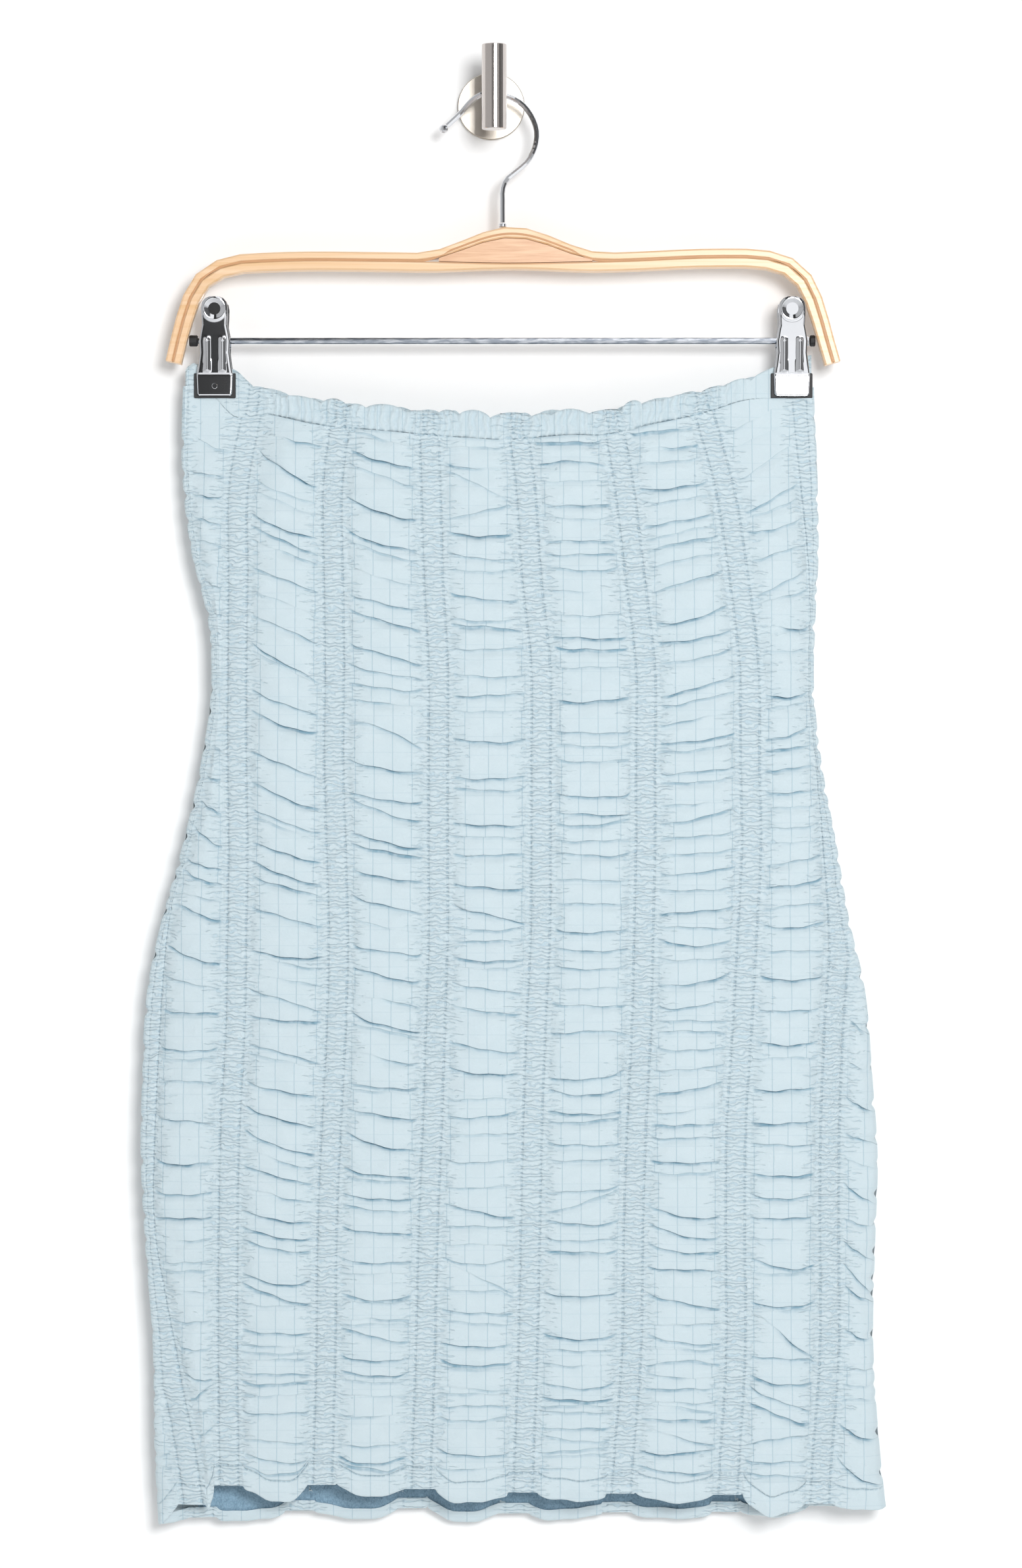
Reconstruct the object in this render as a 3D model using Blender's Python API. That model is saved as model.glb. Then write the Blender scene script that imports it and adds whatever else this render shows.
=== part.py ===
"""A strapless shirred dress, clipped to a bow hanger that hangs from a wall hook. Metres, +Z up.

The origin is the centre of the wall plate's back face. The wall is the plane y = 0, and the dress
hangs in front of it, towards -Y. Sizes are in millimetres and are turned to metres by MM.
"""
import math

import bmesh
import bpy
import numpy as np
from mathutils import Matrix, Vector

MM = 0.001
GAP = 0.3                     # between pieces that touch
HANG = -22.0                  # y of the plane in which the hanger and the dress hang

# Wall hook
PLATE_DIAMETER = 39.8
PLATE_THICKNESS = 3.5
STEM_DIAMETER = 6.4
ROD_DIAMETER = 14.7
ROD_LENGTH = 49.9
ROD_AXIS_Y = -42.0
ROD_MIDDLE = (1.9, 6.3)       # x and z

# Hanger
WIRE_DIAMETER = 3.2
WIRE_POINTS = 40
BALL_DIAMETER = 5.2
FERRULE_DIAMETER = 4.6
FERRULE_HEIGHT = 2.6
UPPER_PLY = 4.7               # thickness of the bow's upper bent ply
UPPER_TIP = 4.2               # and at its two tips
LOWER_PLY = 5.9
LOWER_TIP = 4.9
UPPER_SWELL = 1.7             # the upper ply is this much thicker over the wedge
LOWER_HOLLOW = 2.7            # and the lower one this much thinner under it
BOW_DEPTH = 12.0
BOW_STATIONS = 37             # sections along the bow
HUMP_MIDDLE = 12.2            # x of the peak that the wedge lifts
HUMP_REACH = 57.5
HUMP_HEIGHT = 14.9
WEDGE_LEAST = 1.0             # the wedge ends where the plies are this close
BAR_DIAMETER = 3.9
BAR_HEIGHT = -141.4
BAR_ENDS = (-173.4, 188.4)
BUSH_DIAMETER = 6.7
BUSH_LENGTHS = {"left": 5.0, "right": 3.3}
COLLAR_LENGTH = 1.9

# Clips
CLIP_MIDDLES = {"left": -163.4, "right": 177.9}
SHEET_METAL = 1.0
PAD_THICKNESS = 1.5
PAD_HALF_WIDTH = 12.3
PAD_HEIGHTS = (-175.4, -160.8)
SPRING_LENGTH = 11.0
RIVET_DIAMETER = 3.5
RIVET_HEIGHT = 0.8
RIVET_LEVEL = -168.5

# Dress
WALL = 1.3                    # thickness of the cloth's wall at the stitched strips
HALF_SEAM = GAP / 2
SIDE_PUFF = 1.5               # the outline below is measured over the puffs, and the strips lie under it
STRIP_HALF_WIDTH = 8.6
LEAST_COLUMN = 1.3            # the narrowest that a strip or panel gets where it turns round the side
CASING = 13.5                 # depth of the turned casing at the top
HEM_TURN = 13.0               # depth of the turned hem
CASING_BULGE = 0.7
PUFFS = 13                    # puffs in each panel between two strips
PUFF_HEIGHT = 3.3
ROUNDING = 3.2                # of the section at the side folds: 2 is an ellipse, more is flatter
INNER_ROWS = 21
JAW_HALF_WIDTH = 17.0         # cloth this near a clip's middle is pinched flat
JAW_FOOT = -179.0
PINCH_SPREAD = 32.0           # how far beside the jaw the cloth takes to open
PINCH_DROP = 70.0             # and below it

# The wire's route: x and z of its middle line, from the ball round the stem and down to the bow
WIRE_ROUTE = (
    (-26.0, -14.0), (-18.6, -7.1), (-11.2, 1.1), (-5.8, 4.4), (2.4, 5.3), (9.5, 3.5),
    (17.3, -0.4), (24.5, -9.4), (27.0, -16.8), (26.2, -26.2), (21.9, -34.8), (14.9, -41.2),
    (8.8, -46.6), (6.9, -52.0), (6.8, -58.0), (6.8, -71.45),
)

# The bow's glue line: x and z, from the left tip to the right tip
BOW_ROUTE = (
    (-188.2, -154.3), (-185.0, -140.7), (-181.2, -126.8), (-176.5, -113.9), (-170.6, -105.1),
    (-160.7, -98.7), (-149.0, -95.6), (-131.0, -94.5), (-60.0, -94.3), (12.0, -95.8), (80.0, -94.2),
    (138.0, -92.1), (156.0, -92.5), (172.7, -95.5), (181.6, -100.9), (188.0, -109.4), (193.0, -122.3),
    (198.4, -141.0), (202.4, -154.8),
)

# A clip's plate, from its thumb end to its jaw: height, half width and distance from the hanging plane
CLIP_PLATE = (
    (-116.0, 2.8, 9.2), (-117.0, 5.4, 9.1), (-119.2, 7.3, 8.8), (-122.5, 8.0, 8.4), (-127.5, 7.9, 7.8),
    (-133.0, 7.6, 6.9), (-138.0, 8.6, 6.1), (-142.0, 9.2, 5.5), (-149.0, 8.9, 4.9), (-156.0, 9.8, 4.3),
    (-161.5, 10.7, 3.75), (-173.0, 10.2, 3.75), (-174.2, 9.2, 3.75),
)

# The dress's outline: height, left edge, right edge and half depth at the middle
OUTLINE = (
    (-150.0, -181.5, 190.5, 5.6), (-173.0, -182.6, 191.3, 6.2), (-220.0, -183.0, 193.3, 9.0),
    (-267.0, -177.5, 194.0, 11.0), (-306.0, -168.0, 192.2, 12.2), (-345.0, -165.8, 191.3, 13.0),
    (-392.0, -172.1, 196.0, 13.5), (-439.0, -182.6, 204.6, 14.0), (-486.0, -195.6, 212.6, 14.0),
    (-520.0, -202.9, 220.5, 14.0), (-579.0, -206.8, 226.0, 14.0), (-625.0, -207.6, 229.0, 14.0),
    (-673.0, -205.2, 227.6, 13.5), (-735.0, -200.5, 226.4, 13.0), (-798.0, -199.4, 230.3, 13.0),
    (-850.0, -196.5, 236.0, 13.5),
)

# The top edge from one side to the other: x and height
TOP_EDGE = (
    (-190.0, -158.0), (-176.0, -154.5), (-166.0, -160.0), (-152.0, -172.5), (-131.0, -172.0),
    (-108.0, -177.0), (-61.0, -182.0), (-14.0, -186.0), (4.0, -187.0), (45.0, -184.3), (68.0, -184.0),
    (91.0, -178.5), (126.0, -171.0), (150.0, -163.5), (176.0, -160.5), (191.0, -155.5), (197.0, -158.0),
)

# Middle lines of the front's eight stitched strips: height, then x of strips 0 to 7. Strips 0 and 7
# lie on the side folds above the hips and come forward below them.
FRONT_STRIPS = (
    (-150.0, -190, -138.0, -86.5, -37.6, 12.5, 68.5, 121.0, 183.0),
    (-174.5, -190, -140.5, -87.7, -37.2, 13.7, 70.1, 124.1, 184.7),
    (-229.0, -190, -149.6, -93.8, -35.6, 20.3, 78.6, 138.0, 190.5),
    (-281.0, -187, -149.8, -93.2, -34.1, 23.8, 84.8, 146.2, 196.0),
    (-335.0, -176, -150.4, -92.5, -31.3, 29.3, 91.0, 152.4, 197.0),
    (-389.0, -180, -150.4, -93.0, -31.3, 29.3, 91.0, 152.8, 200.0),
    (-443.0, -189, -149.6, -91.4, -31.3, 29.3, 91.0, 153.6, 204.0),
    (-490.0, -195, -150.2, -90.2, -31.2, 29.0, 90.0, 151.2, 206.0),
    (-548.0, -201, -151.2, -91.4, -32.9, 26.4, 88.6, 148.1, 202.5),
    (-605.0, -203, -154.2, -94.3, -34.8, 24.4, 85.8, 144.6, 200.2),
    (-660.0, -202, -155.3, -96.6, -37.0, 23.2, 84.0, 144.0, 199.8),
    (-742.0, -190, -155.7, -97.6, -38.9, 21.5, 82.6, 144.2, 199.8),
    (-808.0, -179, -154.9, -99.3, -41.1, 19.2, 77.6, 140.4, 195.1),
    (-850.0, -174, -154.7, -100.0, -42.0, 18.0, 75.0, 138.5, 193.0),
)

# Middle lines of the back's seven strips
BACK_STRIPS = (
    (-150.0, -150, -101.0, -47.0, 5.0, 57.0, 109.0, 160.0),
    (-229.0, -150, -101.0, -47.0, 6.0, 59.0, 111.0, 162.0),
    (-335.0, -140, -94.0, -42.0, 11.0, 63.0, 114.0, 161.0),
    (-443.0, -149, -97.0, -42.0, 13.0, 68.0, 122.0, 173.0),
    (-548.0, -163, -106.0, -47.0, 12.0, 71.0, 130.0, 187.0),
    (-660.0, -169, -110.0, -50.0, 12.0, 73.0, 134.0, 193.0),
    (-742.0, -169, -112.0, -49.0, 13.0, 74.0, 137.0, 195.0),
    (-850.0, -171, -114.0, -46.0, 14.0, 75.0, 140.0, 198.0),
)

# The hem: heights at the two corners, then at each strip (drawn up) and in each panel (hanging low)
HEM_CORNERS = (-841.5, -831.0)
FRONT_HEM_STRIPS = (-829.0, -817.5, -816.7, -819.0, -821.0, -821.7, -822.5, -828.3)
FRONT_HEM_PANELS = (-836.0, -829.5, -826.4, -823.0, -827.6, -826.6, -826.8, -834.5, -832.5)
BACK_HEM_STRIPS = (-838.6, -835.2, -833.9, -837.0, -836.4, -836.0, -832.0)
BACK_HEM_PANELS = (-841.0, -841.4, -840.2, -841.6, -841.0, -840.6, -838.5, -832.5)

# How the puffs lean in each panel, as rise over run: at the bust, at the hips and near the hem
FRONT_LEANS = (
    (-0.10, -0.20, 0.10), (-0.42, -0.28, -0.02), (-0.45, -0.28, -0.02), (-0.30, -0.16, 0.0),
    (-0.10, -0.06, 0.0), (0.02, 0.04, 0.0), (0.14, 0.08, 0.0), (0.34, 0.12, 0.0), (0.10, -0.40, -0.10),
)
BACK_LEANS = (
    (0.10, 0.15, 0.0), (0.30, 0.22, 0.02), (0.20, 0.10, -0.04), (0.05, 0.0, 0.0), (-0.05, -0.04, 0.0),
    (-0.16, -0.10, 0.0), (-0.32, -0.18, 0.0), (-0.10, 0.20, 0.0),
)
SPREAD = (0.0, 0.18, 0.5, 0.82, 1.0)          # columns across a panel between two strips
# A puff from its tuck down: part of its height, and how far out of its full height it stands
PUFF_STEPS = ((0.0, 0.06), (0.34, 0.72), (0.72, 1.0), (0.93, 0.66))

# The knit band that shows inside the back, above its turned hem: ends, and heights above the hem
LINING_ENDS = (-150.0, 178.0)
LINING_RISE = (11.0, 44.0)
LINING_WALL = 1.0
LINING_COLUMNS = 22

for leftover in list(bpy.data.objects):
    bpy.data.objects.remove(leftover)


def make_material(name, colour, roughness, metallic=0.0):
    """A plain Principled material; colour is sRGB hex."""
    parts = [int(colour[i:i + 2], 16) / 255 for i in (1, 3, 5)]
    linear = [c / 12.92 if c <= 0.04045 else ((c + 0.055) / 1.055) ** 2.4 for c in parts]
    material = bpy.data.materials.new(name)
    material.use_nodes = True
    shader = material.node_tree.nodes["Principled BSDF"]
    shader.inputs["Base Color"].default_value = (*linear, 1.0)
    shader.inputs["Roughness"].default_value = roughness
    shader.inputs["Metallic"].default_value = metallic
    return material


NICKEL = make_material("brushed nickel", "#B8B0AA", 0.34, 1.0)
CHROME = make_material("chrome", "#D9DCE0", 0.12, 1.0)
MAPLE = make_material("pale bent wood", "#EFD3A6", 0.45)
CHERRY = make_material("red-brown wedge wood", "#C99468", 0.5)
RUBBER = make_material("black rubber", "#1B1B1D", 0.7)
COTTON = make_material("powder blue crinkled cotton", "#CBDDE4", 0.85)
KNIT = make_material("blue knit lining", "#A9CBE0", 0.9)


def add_piece(name, mesh_data, material, sharp=35.0):
    """Turn a bmesh in millimetres into a named object in metres, facing outwards."""
    bmesh.ops.recalc_face_normals(mesh_data, faces=mesh_data.faces)
    bmesh.ops.scale(mesh_data, vec=(MM, MM, MM), verts=mesh_data.verts)
    mesh = bpy.data.meshes.new(name)
    mesh_data.to_mesh(mesh)
    mesh_data.free()
    mesh.materials.append(material)
    mesh.shade_smooth()
    mesh.set_sharp_from_angle(angle=math.radians(sharp))
    piece = bpy.data.objects.new(name, mesh)
    bpy.context.collection.objects.link(piece)
    return piece


def add_turned(name, start, end, diameter, material, sides=32, chamfer=0.4):
    """A round bar from start to end, with chamfered rims."""
    start, end = Vector(start), Vector(end)
    solid = bmesh.new()
    bmesh.ops.create_cone(solid, cap_ends=True, segments=sides, radius1=diameter / 2, radius2=diameter / 2,
                          depth=(end - start).length)
    if chamfer:
        rims = [edge for edge in solid.edges if abs(edge.verts[0].co.z - edge.verts[1].co.z) < 0.001]
        bmesh.ops.bevel(solid, geom=rims, offset=chamfer, segments=1, profile=0.5, affect="EDGES", material=-1)
    turn = Vector((0, 0, 1)).rotation_difference(end - start).to_matrix().to_4x4()
    bmesh.ops.transform(solid, matrix=Matrix.Translation((start + end) / 2) @ turn, verts=solid.verts)
    return add_piece(name, solid, material)


def add_ball(name, centre, diameter, material):
    solid = bmesh.new()
    bmesh.ops.create_uvsphere(solid, u_segments=12, v_segments=8, radius=diameter / 2)
    bmesh.ops.translate(solid, vec=centre, verts=solid.verts)
    return add_piece(name, solid, material, sharp=180)


def add_sleeve(name, start, end, inner, outer, material, sides=20):
    """A ring round the X axis through start and end, made by turning its profile."""
    solid = bmesh.new()
    corners = [solid.verts.new((x, 0, radius)) for x, radius in
               ((start[0], inner), (start[0], outer), (end[0], outer), (end[0], inner))]
    profile = [solid.edges.new((corners[i], corners[(i + 1) % 4])) for i in range(4)]
    bmesh.ops.spin(solid, geom=corners + profile, cent=(0, 0, 0), axis=(1, 0, 0), angle=math.tau,
                   steps=sides, use_merge=True)
    bmesh.ops.translate(solid, vec=(0, start[1], start[2]), verts=solid.verts)
    return add_piece(name, solid, material)


def add_loft(name, rings, material, sharp=35.0):
    """Join rings of the same number of points into one closed solid with capped ends."""
    solid = bmesh.new()
    loops = [[solid.verts.new(point) for point in ring] for ring in rings]
    count = len(loops[0])
    for one, two in zip(loops, loops[1:]):
        for i in range(count):
            solid.faces.new((one[i], one[(i + 1) % count], two[(i + 1) % count], two[i]))
    solid.faces.new(loops[0])
    solid.faces.new(list(reversed(loops[-1])))
    return add_piece(name, solid, material, sharp)


def add_block(name, low, high, material, chamfer=0.5):
    solid = bmesh.new()
    bmesh.ops.create_cube(solid, size=1.0)
    size = [high[i] - low[i] for i in range(3)]
    bmesh.ops.scale(solid, vec=size, verts=solid.verts)
    bmesh.ops.translate(solid, vec=[(high[i] + low[i]) / 2 for i in range(3)], verts=solid.verts)
    bmesh.ops.bevel(solid, geom=solid.edges[:], offset=chamfer, segments=1, profile=0.5, affect="EDGES",
                    material=-1)
    return add_piece(name, solid, material, sharp=20)


def smooth_route(points, count):
    """Points evenly spread along a smooth curve through the given ones, with its directions."""
    route = np.array(points, float)
    lengths = np.concatenate(([0.0], np.cumsum(np.linalg.norm(np.diff(route, axis=0), axis=1))))
    spots = np.linspace(0.0, lengths[-1], count)
    line = np.stack([through(lengths, route[:, i], spots) for i in range(route.shape[1])], axis=1)
    direction = np.gradient(line, axis=0)
    return line, direction / np.linalg.norm(direction, axis=1)[:, None]


def through(stations, values, at):
    """A smooth curve through a table's values: a cubic with the mean slope at each station."""
    stations, values, at = (np.asarray(item, float) for item in (stations, values, at))
    if stations[0] > stations[-1]:
        stations, values = stations[::-1], values[::-1]
    slopes = np.gradient(values, stations)
    i = np.clip(np.searchsorted(stations, at) - 1, 0, len(stations) - 2)
    step = stations[i + 1] - stations[i]
    t = np.clip((at - stations[i]) / step, 0.0, 1.0)
    rise = (1 + 2 * t) * (1 - t) ** 2 * values[i] + t * t * (3 - 2 * t) * values[i + 1]
    return rise + step * (t * (1 - t) ** 2 * slopes[i] - t * t * (1 - t) * slopes[i + 1])


def ease(t):
    t = np.clip(t, 0.0, 1.0)
    return t * t * (3 - 2 * t)


def add_wall_hook():
    """A round plate on the wall, a thin stem and the upright rod at its end."""
    add_turned("wall_plate", (0, 0, 0), (0, -PLATE_THICKNESS, 0), PLATE_DIAMETER, NICKEL, 48)
    stem_end = ROD_AXIS_Y + ROD_DIAMETER / 2 + GAP
    add_turned("wall_stem", (0, -PLATE_THICKNESS - GAP, 0), (0, stem_end, 0), STEM_DIAMETER, NICKEL, 20, 0)
    x, z = ROD_MIDDLE
    add_turned("wall_rod", (x, ROD_AXIS_Y, z - ROD_LENGTH / 2), (x, ROD_AXIS_Y, z + ROD_LENGTH / 2),
               ROD_DIAMETER, NICKEL, 32)


def add_wire():
    """The hanger's hook: one bent wire with a ball on its free end and a ferrule where it meets the bow."""
    line, direction = smooth_route(WIRE_ROUTE, WIRE_POINTS)
    radius = WIRE_DIAMETER / 2
    rings = []
    for (x, z), (dx, dz) in zip(line, direction):
        across = Vector((-dz, 0, dx))
        rings.append([Vector((x, HANG, z)) + radius * (across * math.cos(a) + Vector((0, math.sin(a), 0)))
                      for a in (math.tau * i / 8 for i in range(8))])
    add_loft("hook_wire", rings, CHROME, sharp=60)
    start = Vector((line[0][0], HANG, line[0][1]))
    away = Vector((-direction[0][0], 0, -direction[0][1]))
    add_ball("hook_ball", start + away * (BALL_DIAMETER / 2 + GAP), BALL_DIAMETER, CHROME)
    x, z = WIRE_ROUTE[-1]
    foot = z - GAP
    add_turned("hook_ferrule", (x, HANG, foot), (x, HANG, foot - FERRULE_HEIGHT), FERRULE_DIAMETER, CHROME, 16, 0.5)


def bow_section(middle, normal, low, high):
    """Eight points round a ply, from its distances low and high above the glue line."""
    half, corner = BOW_DEPTH / 2, 1.0
    spots = ((-half, low + corner), (-half + corner, low), (half - corner, low), (half, low + corner),
             (half, high - corner), (half - corner, high), (-half + corner, high), (-half, high - corner))
    return [Vector((middle[0] + normal[0] * up, HANG + y, middle[1] + normal[1] * up)) for y, up in spots]


def add_bow():
    """Two bent plies glued together, parted at the peak by a wedge of darker wood."""
    line, direction = smooth_route(BOW_ROUTE, BOW_STATIONS)
    from_tip = ease(np.minimum(np.arange(BOW_STATIONS), np.arange(BOW_STATIONS)[::-1]) / 6)
    upper, lower, wedge = [], [], []
    for (x, z), (dx, dz), full in zip(line, direction, from_tip):
        normal = (-dz, dx)
        off = (x - HUMP_MIDDLE) / HUMP_REACH
        hump = math.cos(off * math.pi / 2) ** 2 if abs(off) < 1 else 0.0
        lift = HUMP_HEIGHT * hump
        above = UPPER_TIP + (UPPER_PLY - UPPER_TIP) * full + UPPER_SWELL * hump
        below = LOWER_TIP + (LOWER_PLY - LOWER_TIP) * full - LOWER_HOLLOW * hump
        lower.append(bow_section((x, z), normal, -HALF_SEAM - below, -HALF_SEAM))
        upper.append(bow_section((x, z), normal, HALF_SEAM + lift, HALF_SEAM + lift + above))
        if lift > WEDGE_LEAST:
            half, low, high = BOW_DEPTH / 2 - 0.2, HALF_SEAM, lift - HALF_SEAM
            wedge.append([Vector((x + normal[0] * up, HANG + y, z + normal[1] * up)) for y, up in
                          ((-half, low), (half, low), (half, high), (-half, high))])
    add_loft("bow_lower_ply", lower, MAPLE)
    add_loft("bow_upper_ply", upper, MAPLE)
    add_loft("bow_wedge", wedge, CHERRY)


def add_bar():
    """The steel bar between the bow's arms, with a rubber bush at each end."""
    left, right = BAR_ENDS
    add_turned("bar", (left, HANG, BAR_HEIGHT), (right, HANG, BAR_HEIGHT), BAR_DIAMETER, CHROME, 16, 0.3)
    for which, start, way in (("left", left - GAP, -1), ("right", right + GAP, 1)):
        end = start + way * BUSH_LENGTHS[which]
        add_turned(f"bush_{which}", (start, HANG, BAR_HEIGHT), (end, HANG, BAR_HEIGHT), BUSH_DIAMETER, RUBBER, 16, 0.5)
    collar = right - COLLAR_LENGTH - GAP
    add_sleeve("collar_right", (collar, HANG, BAR_HEIGHT), (collar + COLLAR_LENGTH, HANG, BAR_HEIGHT),
               BAR_DIAMETER / 2 + GAP, BUSH_DIAMETER / 2 - 0.3, CHROME, 16)


def clip_plate(middle, side):
    """Rings of one of a clip's two plates. side is -1 for the front plate and 1 for the back one."""
    rings = []
    for height, half, away in CLIP_PLATE:
        near, far = HANG + side * away, HANG + side * (away + SHEET_METAL)
        edge, turned = half - 0.6, HANG + side * (away + 0.4 * SHEET_METAL)
        rings.append([Vector((middle + x, y, height)) for x, y in
                      ((-edge, near), (edge, near), (half, turned), (edge, far), (-edge, far), (-half, turned))])
    return rings


def add_clip(which, middle):
    """A sprung clip: two pressed plates with rubber pads, which pinch the casing between them."""
    cloth = HALF_SEAM + WALL
    for name, side in (("front", -1), ("back", 1)):
        add_loft(f"clip_{which}_{name}", clip_plate(middle, side), CHROME)
        near = HANG + side * (cloth + GAP)
        far = near + side * PAD_THICKNESS
        add_block(f"clip_{which}_{name}_pad", (middle - PAD_HALF_WIDTH, min(near, far), PAD_HEIGHTS[0]),
                  (middle + PAD_HALF_WIDTH, max(near, far), PAD_HEIGHTS[1]), RUBBER, 0.3)
    half = SPRING_LENGTH / 2
    add_sleeve(f"clip_{which}_spring", (middle - half, HANG, BAR_HEIGHT), (middle + half, HANG, BAR_HEIGHT),
               BAR_DIAMETER / 2 + GAP, 5.1, CHROME, 16)
    face = HANG - CLIP_PLATE[-2][2] - SHEET_METAL - GAP
    add_turned(f"clip_{which}_rivet", (middle, face, RIVET_LEVEL), (middle, face - RIVET_HEIGHT, RIVET_LEVEL),
               RIVET_DIAMETER, CHROME, 16, 0.3)


def column_of(table, index):
    return [row[index] for row in table]


def outline_at(z, index):
    return through(column_of(OUTLINE, 0), column_of(OUTLINE, index), z)


def edges_at(z):
    """The left and right ends of the strips' own section at a height, under the puffs."""
    return outline_at(z, 1) + SIDE_PUFF, outline_at(z, 2) - SIDE_PUFF


def panel_ends(strips, z):
    """At each height, where the panels start and end: the side, both edges of each strip, the side."""
    left, right = edges_at(z)
    marks = [left]
    for index in range(1, len(strips[0])):
        middle = through(column_of(strips, 0), column_of(strips, index), z)
        marks += [middle - STRIP_HALF_WIDTH, middle + STRIP_HALF_WIDTH]
    marks.append(right)
    for i in range(1, len(marks)):
        marks[i] = np.maximum(marks[i], marks[i - 1] + LEAST_COLUMN)
    marks[-1] = right
    for i in range(len(marks) - 2, -1, -1):
        marks[i] = np.minimum(marks[i], marks[i + 1] - LEAST_COLUMN)
    marks[0] = left
    return marks


def pinch(x, z):
    """0 where a clip holds front and back together, 1 where the cloth hangs open."""
    opened = 1.0
    for middle in CLIP_MIDDLES.values():
        beside = np.maximum(np.abs(x - middle) - JAW_HALF_WIDTH, 0) / PINCH_SPREAD
        below = np.maximum(JAW_FOOT - z, 0) / PINCH_DROP
        opened = opened * ease(np.hypot(beside, below))
    return opened


def half_depth(x, z):
    """Distance of the outer wall from the hanging plane, under the puffs."""
    left, right = edges_at(z)
    across = np.clip(np.abs(2 * (x - left) / (right - left) - 1), 0, 1)
    least = HALF_SEAM + WALL
    return least + (outline_at(z, 3) - least) * np.sqrt(1 - across ** ROUNDING) * pinch(x, z)


def hem_height(panel, t, strips, panels):
    """The hem's scallops: drawn up at the strips, low in the middle of each panel."""
    posts = (HEM_CORNERS[0],) + strips + (HEM_CORNERS[1],)
    ends = posts[panel] * (1 - t) + posts[panel + 1] * t
    middle = (posts[panel] + posts[panel + 1]) / 2
    return ends + (panels[panel] - middle) * math.sin(math.pi * t)


def puff_tables(leans, seed, sides=None):
    """For each panel, its puffs' uneven edges from 0 at the casing to 1 at the hem, and their heights."""
    draw = np.random.default_rng(seed)
    table = []
    for panel in range(len(leans)):
        steps = draw.uniform(0.62, 1.38, PUFFS)
        heights = PUFF_HEIGHT * draw.uniform(0.7, 1.25, PUFFS)
        table.append((np.concatenate(([0.0], np.cumsum(steps) / steps.sum())), heights))
    if sides:
        table[0], table[-1] = sides
    return table


def column_plan(panels):
    """Each column's panel, place across it and the share of the puffs' height there."""
    plan = []
    for panel in range(panels):
        if panel == 0:
            plan += [(panel, t, share) for t, share in ((0.0, 1.0), (0.35, 1.0), (0.75, 0.8), (1.0, 0.0))]
        elif panel == panels - 1:
            plan += [(panel, t, share) for t, share in ((0.0, 0.0), (0.25, 0.8), (0.65, 1.0), (1.0, 1.0))]
        else:
            plan += [(panel, t, math.sin(math.pi * t) ** 0.6 if 0 < t < 1 else 0.0) for t in SPREAD]
    return plan


def add_cloth(name, side, strips, leans, hem_strips, hem_panels, puffs):
    """Front or back of the dress: an outer wall raised into puffs over a plain inner wall."""
    solid = bmesh.new()
    plan = column_plan(len(leans))
    top_x, top_z = column_of(TOP_EDGE, 0), column_of(TOP_EDGE, 1)

    def place_x(panel, t, z):
        marks = panel_ends(strips, z)
        return float(marks[2 * panel] * (1 - t) + marks[2 * panel + 1] * t)

    def wall_point(x, z, out, at_seam):
        """The outer point at x and z, moved out by the puff along the section's normal."""
        if at_seam:
            return Vector((x + math.copysign(out, x), HANG + side * HALF_SEAM, z))
        depth = float(half_depth(x, z))
        slope = (float(half_depth(x + 0.5, z)) - float(half_depth(x - 0.5, z)))
        length = math.hypot(slope, 1.0)
        return Vector((x - out * slope / length, HANG + side * (depth + out / length), z))

    outer, inner = [], []
    for panel, t, share in plan:
        at_seam = (panel, t) in ((0, 0.0), (len(leans) - 1, 1.0))
        top = float(through(top_x, top_z, place_x(panel, t, -170.0)))
        hem = hem_height(panel, t, hem_strips, hem_panels)
        start, end = top - CASING, hem + HEM_TURN
        edges, heights = puffs[panel]
        middle = top - CASING / 2
        rows = [(top, 0.0), (middle, CASING_BULGE * float(pinch(place_x(panel, t, middle), middle)))]
        for puff in range(PUFFS):
            for part, out in PUFF_STEPS:
                level = edges[puff] + part * (edges[puff + 1] - edges[puff])
                middle = start + (end - start) * level
                lean = np.interp(level, (0.15, 0.5, 0.85), leans[panel]) * min(1, 7 * level, 7 * (1 - level))
                run = place_x(panel, t, middle) - place_x(panel, 0.5, middle)
                z = middle + lean * run
                rows.append((z, out * heights[puff] * share * float(pinch(place_x(panel, t, z), z))))
        rows += [(end, 0.0), (hem, 0.0)]
        outer.append([solid.verts.new(wall_point(place_x(panel, t, z), z, out, at_seam)) for z, out in rows])
        column = []
        for row in range(INNER_ROWS + 1):
            z = top + (hem - top) * row / INNER_ROWS
            x = place_x(panel, t, z)
            left, right = (float(edge) for edge in edges_at(z))
            inside = left + WALL + (x - left) / (right - left) * (right - left - 2 * WALL)
            depth = HALF_SEAM if at_seam else max(HALF_SEAM, float(half_depth(x, z)) - WALL)
            column.append(solid.verts.new((inside, HANG + side * depth, z)))
        inner.append(column)
    for grid in (outer, inner):
        for one, two in zip(grid, grid[1:]):
            for i in range(len(one) - 1):
                solid.faces.new((one[i], two[i], two[i + 1], one[i + 1]))
    for i in range(len(outer) - 1):
        for row in (0, -1):
            solid.faces.new((outer[i][row], outer[i + 1][row], inner[i + 1][row], inner[i][row]))
    for seam in (0, -1):
        close_seam(solid, outer[seam], inner[seam])
    return add_piece(name, solid, COTTON, sharp=70)


def close_seam(solid, outer, inner):
    """Triangles between the two walls' edges at a side seam, which have different numbers of points."""
    i = j = 0
    while i < len(outer) - 1 or j < len(inner) - 1:
        step_outer = j == len(inner) - 1 or (i < len(outer) - 1 and outer[i + 1].co.z >= inner[j + 1].co.z)
        third = outer[i + 1] if step_outer else inner[j + 1]
        solid.faces.new((outer[i], inner[j], third))
        i, j = (i + 1, j) if step_outer else (i, j + 1)


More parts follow.
